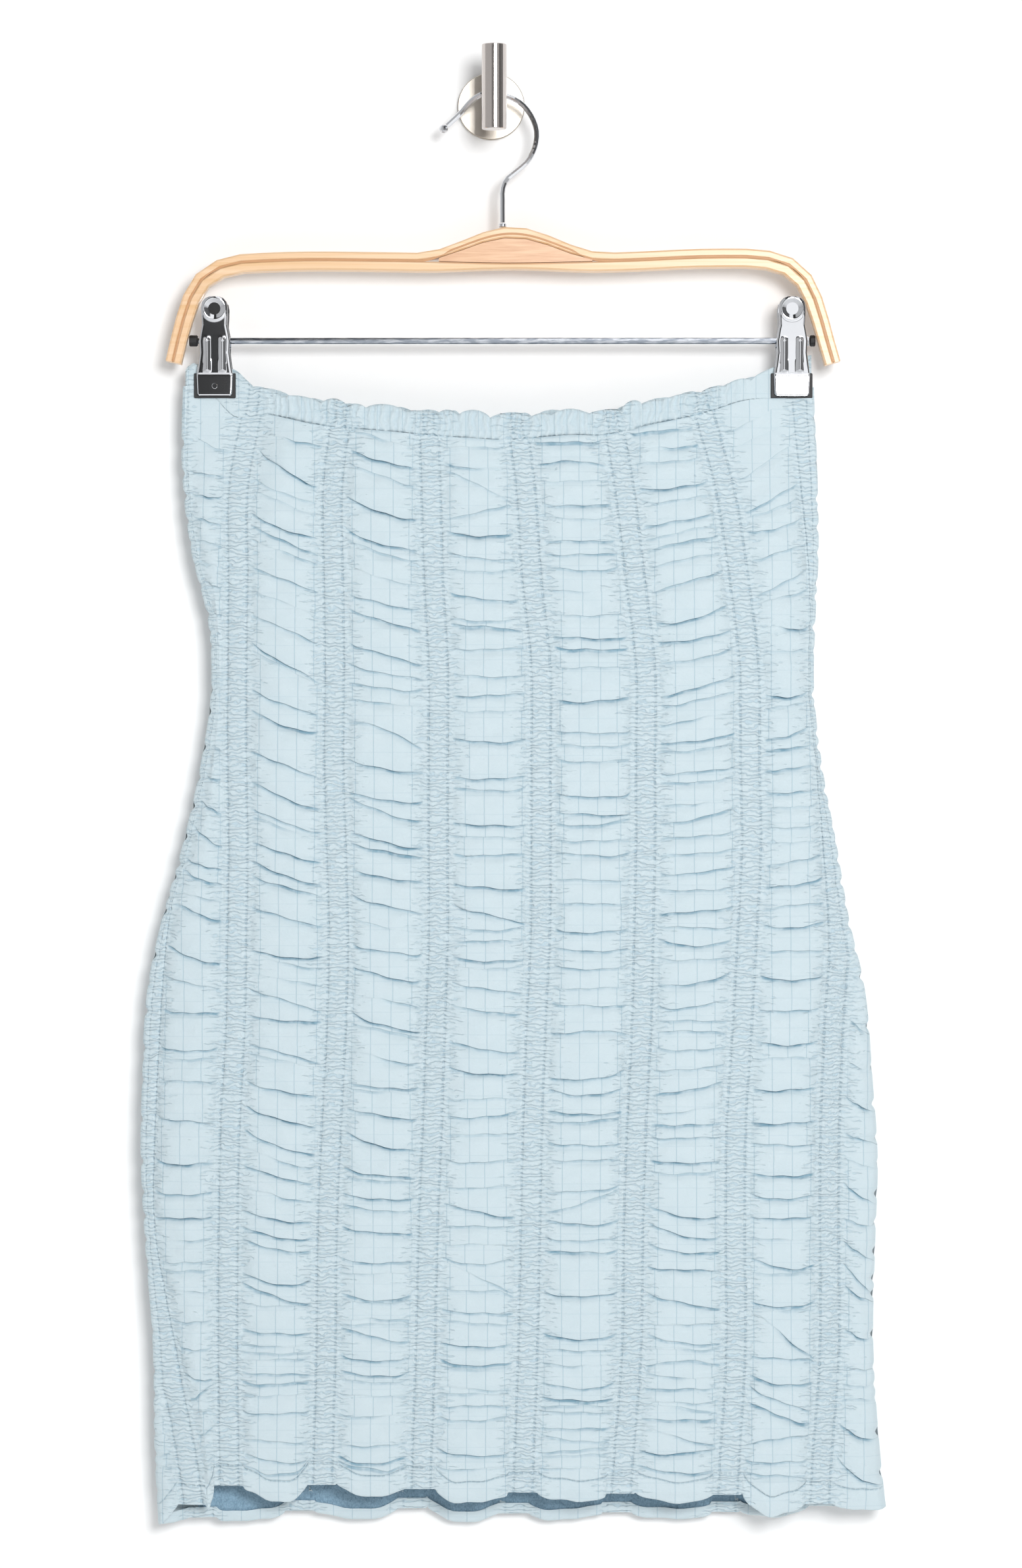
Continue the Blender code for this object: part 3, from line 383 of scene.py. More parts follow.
# The tucks between the front's puffs, panel by panel from the left, as height at the panel's middle,
# depth from 0 to 1, lean (rise over run, + up to the right) and reach, which is FULL where none is named
FRONT_TUCKS = (
    ((-727, .4, 0), (-751, .5, 0), (-765, .5, -.5), (-777, .4, 0), (-788, .4, 0), (-800, .6, .1),
     (-807, .4, 0), (-822, .4, .1)),
    ((-202, 1, -.45), (-220, .9, -.17), (-233, 1, -.1), (-248, .7, -.3), (-261, .5, -.3),
     (-274, .3, -.3, LEFT), (-286, .5, -.3), (-303, .8, -.3), (-314, .5, -.3), (-322, .4, -.2),
     (-348, .5, -.4), (-361, .6, -1), (-382, .7, -.6), (-400, .7, -.35), (-417, 1, -.7), (-435, .9, -.7),
     (-451, 1, -.3), (-459, .9, -.4), (-470, .5, -.3, RIGHT), (-479, .9, -.35), (-505, 1, -.35),
     (-521, .4, -.2), (-538, .9, -.05), (-560, .8, 0, LOW), (-566, .4, 0), (-579, .5, 0), (-602, .6, -.1),
     (-627, .9, -.05), (-645, .8, 0, LOW), (-659, .9, 0), (-673, .6, 0, RIGHT), (-686, .4, 0),
     (-691, .5, 0), (-703, .4, 0, RIGHT), (-721, .6, 0), (-737, .6, 0), (-754, .8, -.25), (-763, .7, .6),
     (-774, .4, 0, RIGHT), (-786, .6, .4, LOW), (-794, .5, .1), (-803, .5, .6, RIGHT)),
    ((-200, .7, -.25, RIGHT), (-218, 1, -.59), (-232, .4, -.4), (-238, .3, -.4), (-252, 1, -.37),
     (-260, .8, -.45), (-267, .7, -.4, RIGHT), (-283, .7, -.4), (-297, .3, -.4, LEFT), (-312, .6, -.45),
     (-332, .8, -.6), (-335, .4, -.5, LEFT), (-356, .8, -.4), (-368, .9, -.35), (-392, .7, -.4),
     (-411, .8, -.4), (-426, .7, -.35), (-430, .6, -.35, LEFT), (-444, .9, -.3), (-457, 1, -.35),
     (-464, .9, -.28), (-482, .8, -.25), (-504, 1, -.1), (-509, .7, -.25, RIGHT), (-519, .4, -.2, RIGHT),
     (-531, .7, -.3), (-542, 1, -.1), (-562, .7, -.27), (-567, .5, -.2, LEFT), (-584, .8, -.2),
     (-600, 1, -.3), (-616, 1, -.35), (-625, .6, -.3, RIGHT), (-634, .9, -.25), (-646, .6, -.2, RIGHT),
     (-659, .9, -.15), (-669, 1, -.15), (-677, .8, -.2), (-696, 1, -.12, LOW), (-705, 1, -.3),
     (-711, .3, 0), (-727, .9, -.07), (-735, .5, 0, LEFT), (-739, .5, 0), (-743, .5, 0, RIGHT),
     (-751, .7, -.03), (-757, .8, 0), (-764, .4, 0, LEFT), (-774, .7, 0), (-791, .5, -.03),
     (-802, .6, -.12), (-810, .6, .1)),
    ((-200, .6, -.3, LEFT), (-212, 1, -.3), (-222, .4, -.35), (-242, 1, -.35), (-261, .9, -.3),
     (-267, .5, -.3), (-282, .3, -.3, RIGHT), (-297, .7, -.2), (-307, .9, -.3), (-327, .9, -.3),
     (-338, .6, -.2), (-347, .7, -.1), (-356, .7, -.1, LEFT), (-373, .6, -.4, HIGH), (-394, .8, -.15),
     (-412, .9, -.15), (-420, .8, -.3), (-437, 1, -.2), (-443, 1, -.2), (-458, .9, -.15),
     (-475, .8, -.25), (-488, .3, -.2, LEFT), (-502, .8, -.15), (-516, 1, -.2), (-531, .5, -.2, RIGHT),
     (-545, 1, -.3), (-549, .5, -.2), (-565, .6, -.2, RIGHT), (-582, .7, -.1), (-585, .5, -.1, LEFT),
     (-598, .9, -.15), (-615, 1, -.25), (-633, 1, -.15), (-637, .5, -.1), (-647, .9, -.1),
     (-654, .7, -.1), (-667, 1, -.1), (-685, .7, -.05), (-692, .3, 0, LEFT), (-706, .9, -.05, LOW),
     (-709, .3, 0), (-719, .5, 0, RIGHT), (-722, .4, 0), (-729, .8, -.2), (-742, .9, -.02, LOW),
     (-751, .9, -.05, LOW), (-756, .4, 0), (-764, .3, 0, RIGHT), (-776, .6, 0, LEFT), (-793, .6, 0),
     (-802, 1, 0, LOW), (-807, .7, -.1)),
    ((-205, .4, 0, RIGHT), (-217, .8, -.1, LEFT), (-228, .4, -.5, HIGH), (-243, .7, .2), (-256, 1, -.05),
     (-270, .6, -.1), (-278, .4, 0), (-294, .8, -.1), (-307, .5, 0), (-311, 1, -.1), (-324, .5, 0),
     (-340, .5, 0), (-351, .7, .05), (-361, .3, 0), (-378, .9, 0), (-400, .8, 0), (-407, .7, 0),
     (-427, 1, -.05), (-435, .4, 0), (-445, .7, 0), (-464, 1, -.05), (-480, 1, -.25), (-489, .6, 0),
     (-496, .6, 0), (-507, .8, -.05), (-512, .5, 0, RIGHT), (-524, .7, -.15), (-537, .7, -.15),
     (-559, .8, -.15), (-573, 1, -.1), (-589, .4, 0), (-599, .8, .05), (-610, .4, 0), (-626, .5, 0),
     (-641, .4, 0), (-655, .9, -.2), (-664, .5, 0), (-675, .4, 0, LEFT), (-685, .5, 0, LOW),
     (-694, .5, -.5, RIGHT), (-702, .5, -.05), (-715, .7, -.08), (-721, .4, -.1), (-734, .9, -.02),
     (-745, 1, -.04), (-748, .4, 0), (-760, .5, -.05, RIGHT), (-763, .5, 0, LEFT), (-770, .6, 0),
     (-778, .5, .05), (-798, .8, -.05, LOW), (-807, .5, 0, LEFT)),
    ((-202, 1, 0), (-214, .8, 0, HIGH), (-225, .3, 0), (-239, .7, 0), (-247, .3, 0), (-260, .7, 0),
     (-268, .7, 0), (-277, .6, 0), (-290, .3, 0, LEFT), (-304, .4, 0), (-317, .9, 0), (-324, 1, 0),
     (-335, .4, 0), (-354, 1, .03), (-373, .6, 0), (-381, .5, 0), (-390, .5, 0), (-410, .9, 0, LOW),
     (-421, .8, 0), (-427, .7, .08), (-437, .5, 0), (-445, .7, 0), (-460, .5, 0), (-474, .5, 0),
     (-490, .8, 0), (-501, .7, 0), (-512, .6, 0), (-524, .4, 0), (-534, .7, 0), (-550, .7, 0, HIGH),
     (-576, .8, .1, LOW), (-585, .8, 0, LOW), (-597, 1, 0), (-602, .7, .05), (-616, .7, 0), (-625, .5, 0),
     (-643, .6, .1), (-650, .6, .3), (-662, .8, 0), (-672, .6, 0), (-679, .9, 0), (-704, .9, 0, LOW),
     (-729, 1, 0, LOW), (-737, .5, 0), (-746, .4, 0, LEFT), (-758, .8, 0, LOW), (-766, .9, 0),
     (-770, .4, 0), (-774, .5, -.05), (-783, .7, -.02), (-790, .5, -.1), (-796, .5, .1), (-799, .4, 0),
     (-807, .4, 0, LEFT)),
    ((-195, .9, .1), (-205, .8, .1, RIGHT), (-213, .4, .1), (-228, .9, .08), (-236, .4, .1),
     (-248, .8, .2), (-255, .4, .2), (-261, .7, .2), (-271, .4, .2), (-284, .6, .3), (-305, .9, .25),
     (-317, 1, .15), (-329, .6, .2), (-346, .8, .3), (-354, .6, .2), (-365, .6, .2, LEFT), (-377, 1, .15),
     (-383, .5, .1), (-396, .7, .1), (-402, .6, .1), (-415, .6, .1, LEFT), (-423, .7, .2), (-434, .6, .1),
     (-444, .6, .1), (-455, .8, .1), (-466, .6, .05), (-478, .9, .1), (-488, .5, 0), (-497, .9, 0, LOW),
     (-507, .5, 0), (-520, .8, .15), (-534, .7, .1), (-543, .5, 0), (-550, .6, 0, HIGH), (-560, .6, 0),
     (-571, .5, .1), (-583, .8, .2), (-596, .6, .1, LEFT), (-604, .8, 0), (-612, .6, 0), (-626, 1, 0),
     (-633, .5, 0), (-657, .9, -.15), (-668, .9, -.2, LOW), (-678, .9, -.12, LOW), (-689, .9, -.05),
     (-709, .9, -.2), (-722, .5, 0, RIGHT), (-732, .8, -.12, LOW), (-737, .5, 0, RIGHT),
     (-745, .7, 0, HIGH), (-753, .5, -.05, LEFT), (-760, .7, 0), (-768, .5, 0, RIGHT),
     (-771, .5, -.2, RIGHT), (-778, .8, -.04), (-788, .6, -.3, RIGHT), (-797, 1, 0),
     (-808, .8, -.08, LOW)),
    ((-187, .5, .5), (-198, .3, .4), (-214, .4, .6), (-235, .8, .49), (-241, .4, .35), (-252, .7, .25),
     (-267, .5, .3), (-285, .6, .5), (-293, .7, .3, RIGHT), (-311, 1, 0, RIGHT), (-325, .3, .1),
     (-351, 1, .1), (-357, .4, .2), (-374, .7, .3), (-382, .9, .15), (-394, .8, .15), (-408, .9, .05),
     (-417, .4, .1), (-429, .4, .1), (-438, .3, .1), (-449, .7, .2), (-462, .9, .15), (-475, .5, .1),
     (-487, .8, .05), (-502, .6, 0), (-518, 1, 0), (-537, .6, 0), (-556, 1, 0), (-565, .4, 0),
     (-583, 1, 0), (-603, .9, 0), (-616, .6, 0), (-634, .9, 0), (-647, .7, 0), (-659, .8, 0),
     (-672, .4, 0, LEFT), (-687, 1, -.1, LOW), (-692, .4, 0), (-710, 1, 0, LOW), (-714, .6, 0, RIGHT),
     (-728, .8, -.8, RIGHT), (-742, .8, -.03), (-756, .9, -.15, LOW), (-767, .7, -.4), (-775, 1, -.35),
     (-790, .6, .15, HIGH), (-803, .8, -.03), (-811, .6, -.08)),
    ((-547, 1, -.75), (-571, .4, -.4), (-593, 1, -.55), (-613, .7, -.35), (-628, .4, -.3), (-646, 1, -.6),
     (-663, .7, -.2), (-680, .9, -.6), (-696, 1, -1), (-705, 1, -.6), (-729, .9, -.3, LOW), (-749, .5, 0),
     (-759, .5, 0), (-767, .4, 0), (-787, 1, -.35, LOW), (-811, 1, -.6, LOW)),
)
FRONT_TUCKS = tuple(tuple((*tuck, FULL)[:4] for tuck in panel) for panel in FRONT_TUCKS)

SLIVER_ENDS = (-700, -530)    # above these heights the outer panels are slivers and repeat their neighbours

SWELL = 1.5                   # how far the flattest puff stands out, and how much more for each
SWELL_SHARE = 0.085           # millimetre of its height
MOST_SWELL = 3.6
OVERHANG = 2.3                # how far a puff hangs over the tuck below it
ROLL = 1.2                    # height over which its lower edge rolls under
TROUGH = 5.5                  # height over which the next puff rises out of the tuck
TUCK_DEPTH = 0.95             # share of a puff's swell that the deepest tuck takes away
PUFF_END = (4.6, 2.2)         # width over which a puff fades out at the strip, and how much that varies
PLEAT = (3.7, 1.1)            # pitch and height of the small pleats where a panel meets its strip
CREASE = 0.9                  # height of the dark line under an overhang
SHADE = 4.5                   # and of the fainter shade below it
SIDE_DIP = (1.9, 2.2)         # depth and half height of the dip that the deepest tuck makes in a side fold
RIDGE_PITCH = 2.5             # of the small ridges on the strips
LEAST_PUFF = 2.0

# Rows of points down the cloth, of which each puff has some at its rise and at its rolled edge
FRONT_ROWS = 900
TROUGH_ROWS = 5
ROLL_ROWS = 5
HEM_DROP_ROWS = 14            # rows of the hem that hang outside
# The rows of the hem's turn: rise above the edge, and how far inside the outer wall
HEM_TURNED = ((-0.35, 0.35), (-0.1, 0.8), (0.65, 1.4), (2.15, 2.0), (4.15, 2.1), (6.15, 2.1))
HEM_ROWS = HEM_DROP_ROWS + len(HEM_TURNED)

# Where a panel's columns stand across it, and a strip's from its middle, close at the stitch lines
PANEL_SPOTS = (0, .02, .05, .09, .14, .2, .27, .35, .43, .5, .57, .65, .73, .8, .86, .91, .95, .98)
STRIP_SPOTS = (-8.6, -7.4, -6.4, -5.9, -5.6, -5.3, -4.6, -2.8, 0, 2.8, 4.6, 5.3, 5.6, 5.9, 6.4, 7.4)


def column_of(table, index):
    return [row[index] for row in table]


def outline_at(z, index):
    """A column of the outline's table, read at any height."""
    return through(column_of(OUTLINE, 0), column_of(OUTLINE, index), z)


def edges_at(z):
    """The left and right ends of the strips' own section at a height, under the puffs."""
    return outline_at(z, 1) + SIDE_PUFF, outline_at(z, 2) - SIDE_PUFF


def panel_ends(strips, z):
    """At each height, where the panels start and end: the side, both edges of each strip, the side."""
    left, right = edges_at(z)
    marks = [left]
    for index in range(1, len(strips[0])):
        middle = through(column_of(strips, 0), column_of(strips, index), z)
        marks += [middle - STRIP_HALF_WIDTH, middle + STRIP_HALF_WIDTH]
    marks.append(right)
    for i in range(1, len(marks)):
        marks[i] = np.maximum(marks[i], marks[i - 1] + LEAST_COLUMN)
    marks[-1] = right
    for i in range(len(marks) - 2, -1, -1):
        marks[i] = np.minimum(marks[i], marks[i + 1] - LEAST_COLUMN)
    marks[0] = left
    return marks


def pinch(x, z):
    """0 where a clip holds front and back together, 1 where the cloth hangs open."""
    opened = 1.0
    for middle in CLIP_MIDDLES.values():
        beside = np.maximum(np.abs(x - middle) - JAW_HALF_WIDTH, 0) / PINCH_SPREAD
        below = np.maximum(JAW_FOOT - z, 0) / PINCH_DROP
        opened = opened * ease(np.hypot(beside, below))
    return opened


def half_depth(x, z):
    """Distance of the outer wall from the hanging plane, under the puffs."""
    left, right = edges_at(z)
    across = np.clip(np.abs(2 * (x - left) / (right - left) - 1), 0, 1)
    least = HALF_SEAM + WALL
    return least + (outline_at(z, 3) - least) * np.sqrt(1 - across ** ROUNDING) * pinch(x, z)


def hem_height(panel, t, posts, panels):
    """The hem's scallops: drawn up at the strips, low in the middle of each panel."""
    ends = posts[panel] * (1 - t) + posts[panel + 1] * t
    middle = (posts[panel] + posts[panel + 1]) / 2
    uneven = 0.16 * np.sin(2 * np.pi * t + 1.7 * panel) + 0.07 * np.sin(5 * np.pi * t + panel)
    return ends + (panels[panel] - middle) * (np.sin(np.pi * t) ** 0.6 + uneven)


def soft_noise(x, z, pitch, seed):
    """Smooth noise of about -1 to 1 over the plane, from five slanted waves of about that pitch."""
    draw = np.random.default_rng(seed)
    total = 0.0
    for _ in range(5):
        angle, length = draw.uniform(0, math.pi), pitch * draw.uniform(0.7, 1.5)
        run = (x * math.cos(angle) + z * math.sin(angle)) / length
        total = total + np.sin(2 * math.pi * run + draw.uniform(0, 6.3))
    return total / 2.5


def side_ripple(tucks, z):
    """How far a side fold stands out at a height: it dips at each tuck, on the front and back alike."""
    out = np.full_like(z, SIDE_PUFF)
    for height, depth, _, _ in tucks:
        out = out - SIDE_DIP[0] * depth * np.exp(-((z - height) / SIDE_DIP[1]) ** 2)
    return np.maximum(out, -0.4)


class Panel:
    """One panel's tucks, from the casing's stitching to the hem's, and the rows of its puffs.

    puff and part give each row's puff, and how far down that puff the row stands, from 0 to 1.
    """

    def __init__(self, tucks, top, foot, rows, draw):
        tucks = [tuck for tuck in tucks if top - 3 > tuck[0] > foot + 3]
        tucks = sorted([(top, 0.3, 0.0, FULL), (foot, 0.4, 0.0, FULL)] + list(tucks), reverse=True)
        self.heights, self.depths, self.leans, self.reaches = (np.array(item) for item in zip(*tucks))
        tall = -np.diff(self.heights)
        count = len(tall)
        self.swells = np.minimum(SWELL + SWELL_SHARE * tall, MOST_SWELL) + draw.uniform(-0.25, 0.35, count)
        self.shifts = draw.uniform(-1.6, 1.6, count)
        self.tapers = draw.uniform(-0.6, 1.0, count)
        self.bends = draw.uniform(-0.2, 1.5, count + 1)
        self.waves = draw.uniform(0, 6.3, (count + 1, 3))
        # The rows that are left over are shared out by the puffs' heights
        spare = rows - 1 - count * (ROLL_ROWS + TROUGH_ROWS + 1)
        share = tall / tall.sum() * spare
        extra = np.floor(share).astype(int)
        for i in np.argsort(extra - share)[:spare - extra.sum()]:
            extra[i] += 1
        puff, part = [], []
        for i in range(count):
            roll = 1 - min(0.3, 1.15 * ROLL / max(tall[i], LEAST_PUFF))
            trough = min(0.5, 0.8 * TROUGH / max(tall[i], LEAST_PUFF))
            spots = np.concatenate((
                np.linspace(0, trough, TROUGH_ROWS + 1)[:-1],
                np.linspace(trough, roll, extra[i] + 2)[:-1],
                np.linspace(roll, 1, ROLL_ROWS + 1)[:-1],
            ))
            puff += [i] * len(spots)
            part += list(spots)
        self.puff, self.part = np.array(puff + [count - 1]), np.array(part + [1.0])

    def lines(self, t, run, top, foot):
        """Height of each tuck in the column at t, which lies run to the right of the middle."""
        # Tucks curve down towards the strips, or sag or arch, and waver
        off = 2 * t - 1
        bend = self.bends * abs(off) ** 4 - 0.3
        bend = np.where(self.reaches == LOW, 2.6 * off * off - 1.2, bend)
        bend = np.where(self.reaches == HIGH, 1.2 - 2.6 * off * off, bend)
        waver = 0.45 * np.sin(3 * off + self.waves[:, 0]) + 0.3 * np.sin(8 * off + self.waves[:, 1])
        heights = self.heights + self.leans * run + bend + waver
        heights[0], heights[-1] = top, foot
        # No tuck crosses its neighbour
        step = LEAST_PUFF * np.arange(len(heights))
        heights = np.minimum.accumulate(heights + step) - step
        return np.maximum(heights, foot + step[-1] - step)

    def depths_at(self, t):
        """Depth of each tuck in the column at t."""
        depth = self.depths * (0.85 + 0.15 * np.sin(5 * t + self.waves[:, 2]))
        depth = np.where(self.reaches == LEFT, depth * (1 - 0.9 * ease((t - 0.4) / 0.25)), depth)
        return np.where(self.reaches == RIGHT, depth * (1 - 0.9 * ease((0.6 - t) / 0.25)), depth)


def place_columns(strips_count):
    """Each column's span, where even is a panel and odd a strip, and its place across that span."""
    columns = []
    for span in range(2 * strips_count + 1):
        if span % 2:
            columns += [(span, (spot + STRIP_HALF_WIDTH) / (2 * STRIP_HALF_WIDTH)) for spot in STRIP_SPOTS]
        else:
            inner = 0 < span < 2 * strips_count
            columns += [(span, spot) for spot in (PANEL_SPOTS if inner else PANEL_SPOTS[::2])]
    return columns + [(2 * strips_count, 1.0)]


def form_cloth(strips, posts, hem_panels, tucks, rows, seed):
    """The gathered cloth by columns and rows: its places and what its material needs to know."""
    columns = place_columns(len(strips[0]) - 1)
    heights = np.linspace(-150.0, -850.0, 351)
    marks = np.array(panel_ends(strips, heights))
    top_x, top_z = column_of(TOP_EDGE, 0), column_of(TOP_EDGE, 1)

    def x_at(span, t, z):
        one = np.interp(-z, -heights, marks[span])
        two = np.interp(-z, -heights, marks[span + 1])
        return one * (1 - t) + two * t

    def ends_of(panel, t):
        """Where a column's cloth starts under the casing and stops at the hem's stitching."""
        top = through(top_x, top_z, x_at(2 * panel, t, np.array([-180.0])))[0] - CASING
        return top, hem_height(panel, t, posts, hem_panels) + HEM_TURN

    made = []
    for panel, own in enumerate(tucks):
        top, foot = ends_of(panel, 0.5)
        made.append(Panel(own, top, foot, rows, np.random.default_rng(seed * 100 + panel)))

    def puffed(panel, t):
        """One column of a panel: height, how far it stands out, the cloth's shift and its painted shade."""
        form = made[panel]
        top, foot = ends_of(panel, t)
        run = x_at(2 * panel, t, form.heights) - x_at(2 * panel, 0.5, form.heights)
        lines, depths = form.lines(t, run, top, foot), form.depths_at(t)
        width = x_at(2 * panel, 1.0, form.heights) - x_at(2 * panel, 0.0, form.heights)
        p, q = form.puff, form.part
        if panel == 0:
            beside = (1 - t) * width[p]
        elif panel == len(made) - 1:
            beside = t * width[p]
        else:
            beside = min(t, 1 - t) * width[p]
        # The puffs fade out towards the strip, each over a width of its own
        end = np.full(rows, 40.0 * panel + 60 * (t > 0.5))
        taper = PUFF_END[0] + PUFF_END[1] * form.tapers[p] + 1.2 * soft_noise(end, lines[p], 13, 5)
        share = (1 - np.exp(-(beside / taper) ** 1.25)) * (0.85 + 0.15 * math.sin(math.pi * t))
        # Neighbouring puffs share their swell where they meet
        upper, lower = lines[p], lines[p + 1]
        tall = np.maximum(upper - lower, LEAST_PUFF)
        last = len(form.swells) - 1
        deep_up, deep_low, swell = depths[p], depths[p + 1], form.swells[p]
        before, after = form.swells[np.maximum(p - 1, 0)], form.swells[np.minimum(p + 1, last)]
        beyond = np.where(q < 0.5, (before + swell) / 2, (after + swell) / 2)
        swell = swell + (beyond - swell) * (2 * np.abs(q - 0.5)) ** 2
        # A puff rises out of the tuck above it, and its lower edge rolls back into the tuck below
        roll = 1 - np.minimum(0.3, ROLL / tall)
        turned = np.clip((q - roll) / (1 - roll), 0, 1)
        below_tuck = q * tall
        rise = 1 - TUCK_DEPTH * deep_up * (1 - ease(below_tuck / np.minimum(TROUGH, 0.6 * tall))) ** 1.2
        drop = 1 - TUCK_DEPTH * deep_low * ease(turned)
        out = swell * rise * drop * share
        # Its lower edge hangs over that tuck
        slack = OVERHANG * deep_low * share * np.minimum(1, tall / 9)
        hang = np.where(q < roll, ease((q - 0.3) / np.maximum(roll - 0.3, 0.05)), 1 - turned ** 1.5)
        z = upper + (lower - upper) * q - slack * hang
        # Painted shade: the dark line under the overhang above, and the fainter shade below it
        reach = OVERHANG * deep_up * share
        under = below_tuck - 0.9 * reach
        painted_shade = deep_up * (1 - ease(under / CREASE)) + deep_low * ease(turned)
        painted_shade = painted_shade + 0.14 * deep_up * (1 - ease(under / SHADE)) + 0.08 * deep_low * ease((q - 0.6) / 0.4)
        painted_shade = np.minimum(painted_shade, 1) * ease(beside / 1.5)
        # Small pleats where the panel meets its strip
        pleats = np.exp(-beside / 4.0) * (1 - np.exp(-beside / 1.2))
        wander = 3 * soft_noise(np.full(rows, 30.0 * panel), z, 25, 3)
        out = out + PLEAT[1] * pleats * np.sin(2 * math.pi * z / PLEAT[0] + wander)
        return z, out, form.shifts[p], painted_shade, beside + STRIP_HALF_WIDTH

    # A panel's columns are its own, and a strip's blend the columns at its two edges
    names = ("x", "z", "out", "shift", "painted_shade", "from_strip")
    cloth = {name: np.zeros((len(columns), rows)) for name in names}
    ends = {}
    for i, (span, t) in enumerate(columns):
        if span % 2 == 0:
            z, out, shift, painted_shade, from_strip = puffed(span // 2, t)
        else:
            if span not in ends:
                ends[span] = puffed(span // 2, 1.0), puffed(span // 2 + 1, 0.0)
            one, two = ends[span]
            z, out, shift, painted_shade = (one[n] * (1 - t) + two[n] * t for n in range(4))
            from_strip = np.full(rows, abs(2 * t - 1) * STRIP_HALF_WIDTH)
        cloth["x"][i], cloth["z"][i], cloth["out"][i] = x_at(span, t, z), z, out
        cloth["shift"][i], cloth["painted_shade"][i], cloth["from_strip"][i] = shift, painted_shade, from_strip
    return columns, cloth, x_at


def strip_relief(offset, x, z, seed):
    """The coarser ridges of a stitched strip and the groove of each stitch line."""
    phase = 2.6 * soft_noise(x, z, 9, seed) + 1.2 * np.sign(offset) * ease(np.abs(offset) - STITCH_OFFSET)
    ridge = 0.3 * np.sin(2 * math.pi * (z + 0.16 * offset) / (1.5 * RIDGE_PITCH) + phase)
    ridge = ridge * (1 + 0.4 * soft_noise(x, z, 7, seed + 1))
    groove = np.exp(-((np.abs(offset) - STITCH_OFFSET) / 0.7) ** 2)
    return ridge * (1 - 0.5 * groove) - 0.6 * groove + 0.3 * (1 - (offset / STITCH_OFFSET) ** 2)


# Powder blue cotton, crinkled, with a windowpane of raised threads every 11.2 mm, fine ridges and two
# dotted stitch lines on each strip, and painted shade deep in the tucks and gathers and in the ridges'
# valleys
WINDOW = 11.2
cotton, tree, shader = start_material("powder blue crinkled cotton", "#CBDDE4", 0.85)
place = add_node(tree, "UVMap", uv_map="cloth_mm")
split = add_node(tree, "SeparateXYZ", [(0, (place, "UV"))])
room = add_node(tree, "TexCoord")


def reckon(tree, operation, *values):
    """A Math node on values that are numbers or another node's (node, output)."""
    return add_node(tree, "Math", list(enumerate(values)), operation=operation), 0


def fade_out(tree, value, full, none):
    """1 where the value is at full or beyond, 0 where it is at none."""
    inputs = [(0, value), (1, full), (2, none), (3, 1.0), (4, 0.0)]
    return add_node(tree, "MapRange", inputs, interpolation_type="SMOOTHSTEP"), 0


def blend_colour(tree, factor, one, two):
    """Mix two colours, each a linear colour or another node's (node, output)."""
    return add_node(tree, "Mix", [("Factor", factor), (6, one), (7, two)], data_type="RGBA"), 2


def pane_line(tree, value):
    """1 on a thread line that repeats every WINDOW millimetres of cloth, 0 beside it."""
    part = reckon(tree, "FRACT", reckon(tree, "DIVIDE", value, WINDOW))
    off = reckon(tree, "ABSOLUTE", reckon(tree, "SUBTRACT", part, 0.5))
    return fade_out(tree, off, 0.495, 0.462)


def read_value(tree, name):
    return add_node(tree, "Attribute", attribute_name=name, attribute_type="GEOMETRY"), "Fac"


from_strip = read_value(tree, "from_strip")
painted_shade = read_value(tree, "painted_shade")
from_seam = read_value(tree, "from_seam")

# Ridges about 2 mm apart and 5 mm long, which fray into the panels beside each strip; their valleys are a
# bump and also painted shade in the colour
placed = add_node(tree, "Mapping", [("Vector", (room, "Object")), ("Scale", (600, 600, 1000))])
inputs = [("Vector", (placed, "Vector")), ("Scale", 0.314 / RIDGE_PITCH), ("Distortion", 9.0),
          ("Detail", 2.0), ("Detail Scale", 1.7), ("Detail Roughness", 0.6)]
wave = add_node(tree, "TexWave", inputs, wave_type="BANDS", bands_direction="Z")
fray = stretched_noise(tree, (110, 110, 560))
frayed = reckon(tree, "SUBTRACT", from_strip, reckon(tree, "MULTIPLY", (fray, "Fac"), 40.0))
beside_strip = reckon(tree, "MULTIPLY", fade_out(tree, frayed, -11.0, -6.0), 0.8)
on_strip = reckon(tree, "MAXIMUM", fade_out(tree, from_strip, 6.0, 9.0), beside_strip)
valley_depth_and_shade = reckon(tree, "POWER", reckon(tree, "SUBTRACT", 1.0, (wave, "Fac")), 2.5)
valley_depth_and_shade = reckon(tree, "MULTIPLY", valley_depth_and_shade, on_strip)

# Two lines of elastic thread on each strip, seen as dots between the ridges, and the hem's stitches
off_line = reckon(tree, "ABSOLUTE", reckon(tree, "SUBTRACT", from_strip, STITCH_OFFSET))
dotted = reckon(tree, "MULTIPLY_ADD", valley_depth_and_shade, 0.8, 0.2)
elastic = reckon(tree, "MULTIPLY", fade_out(tree, off_line, 0.25, 0.9), dotted)
across = add_node(tree, "SeparateXYZ", [(0, (room, "Object"))])
dash = reckon(tree, "FRACT", reckon(tree, "MULTIPLY", (across, "X"), 1000 / 2.8))
stitch = reckon(tree, "MULTIPLY", fade_out(tree, from_seam, 0.2, 0.6), fade_out(tree, dash, 0.55, 0.75))

# The windowpane, which the strips hide
upright, level = pane_line(tree, (split, "X")), pane_line(tree, (split, "Y"))
pane = reckon(tree, "MAXIMUM", upright, reckon(tree, "MULTIPLY", level, 0.3))
pane = reckon(tree, "MULTIPLY", pane, reckon(tree, "SUBTRACT", 1.0, fade_out(tree, from_strip, 8.0, 11.0)))
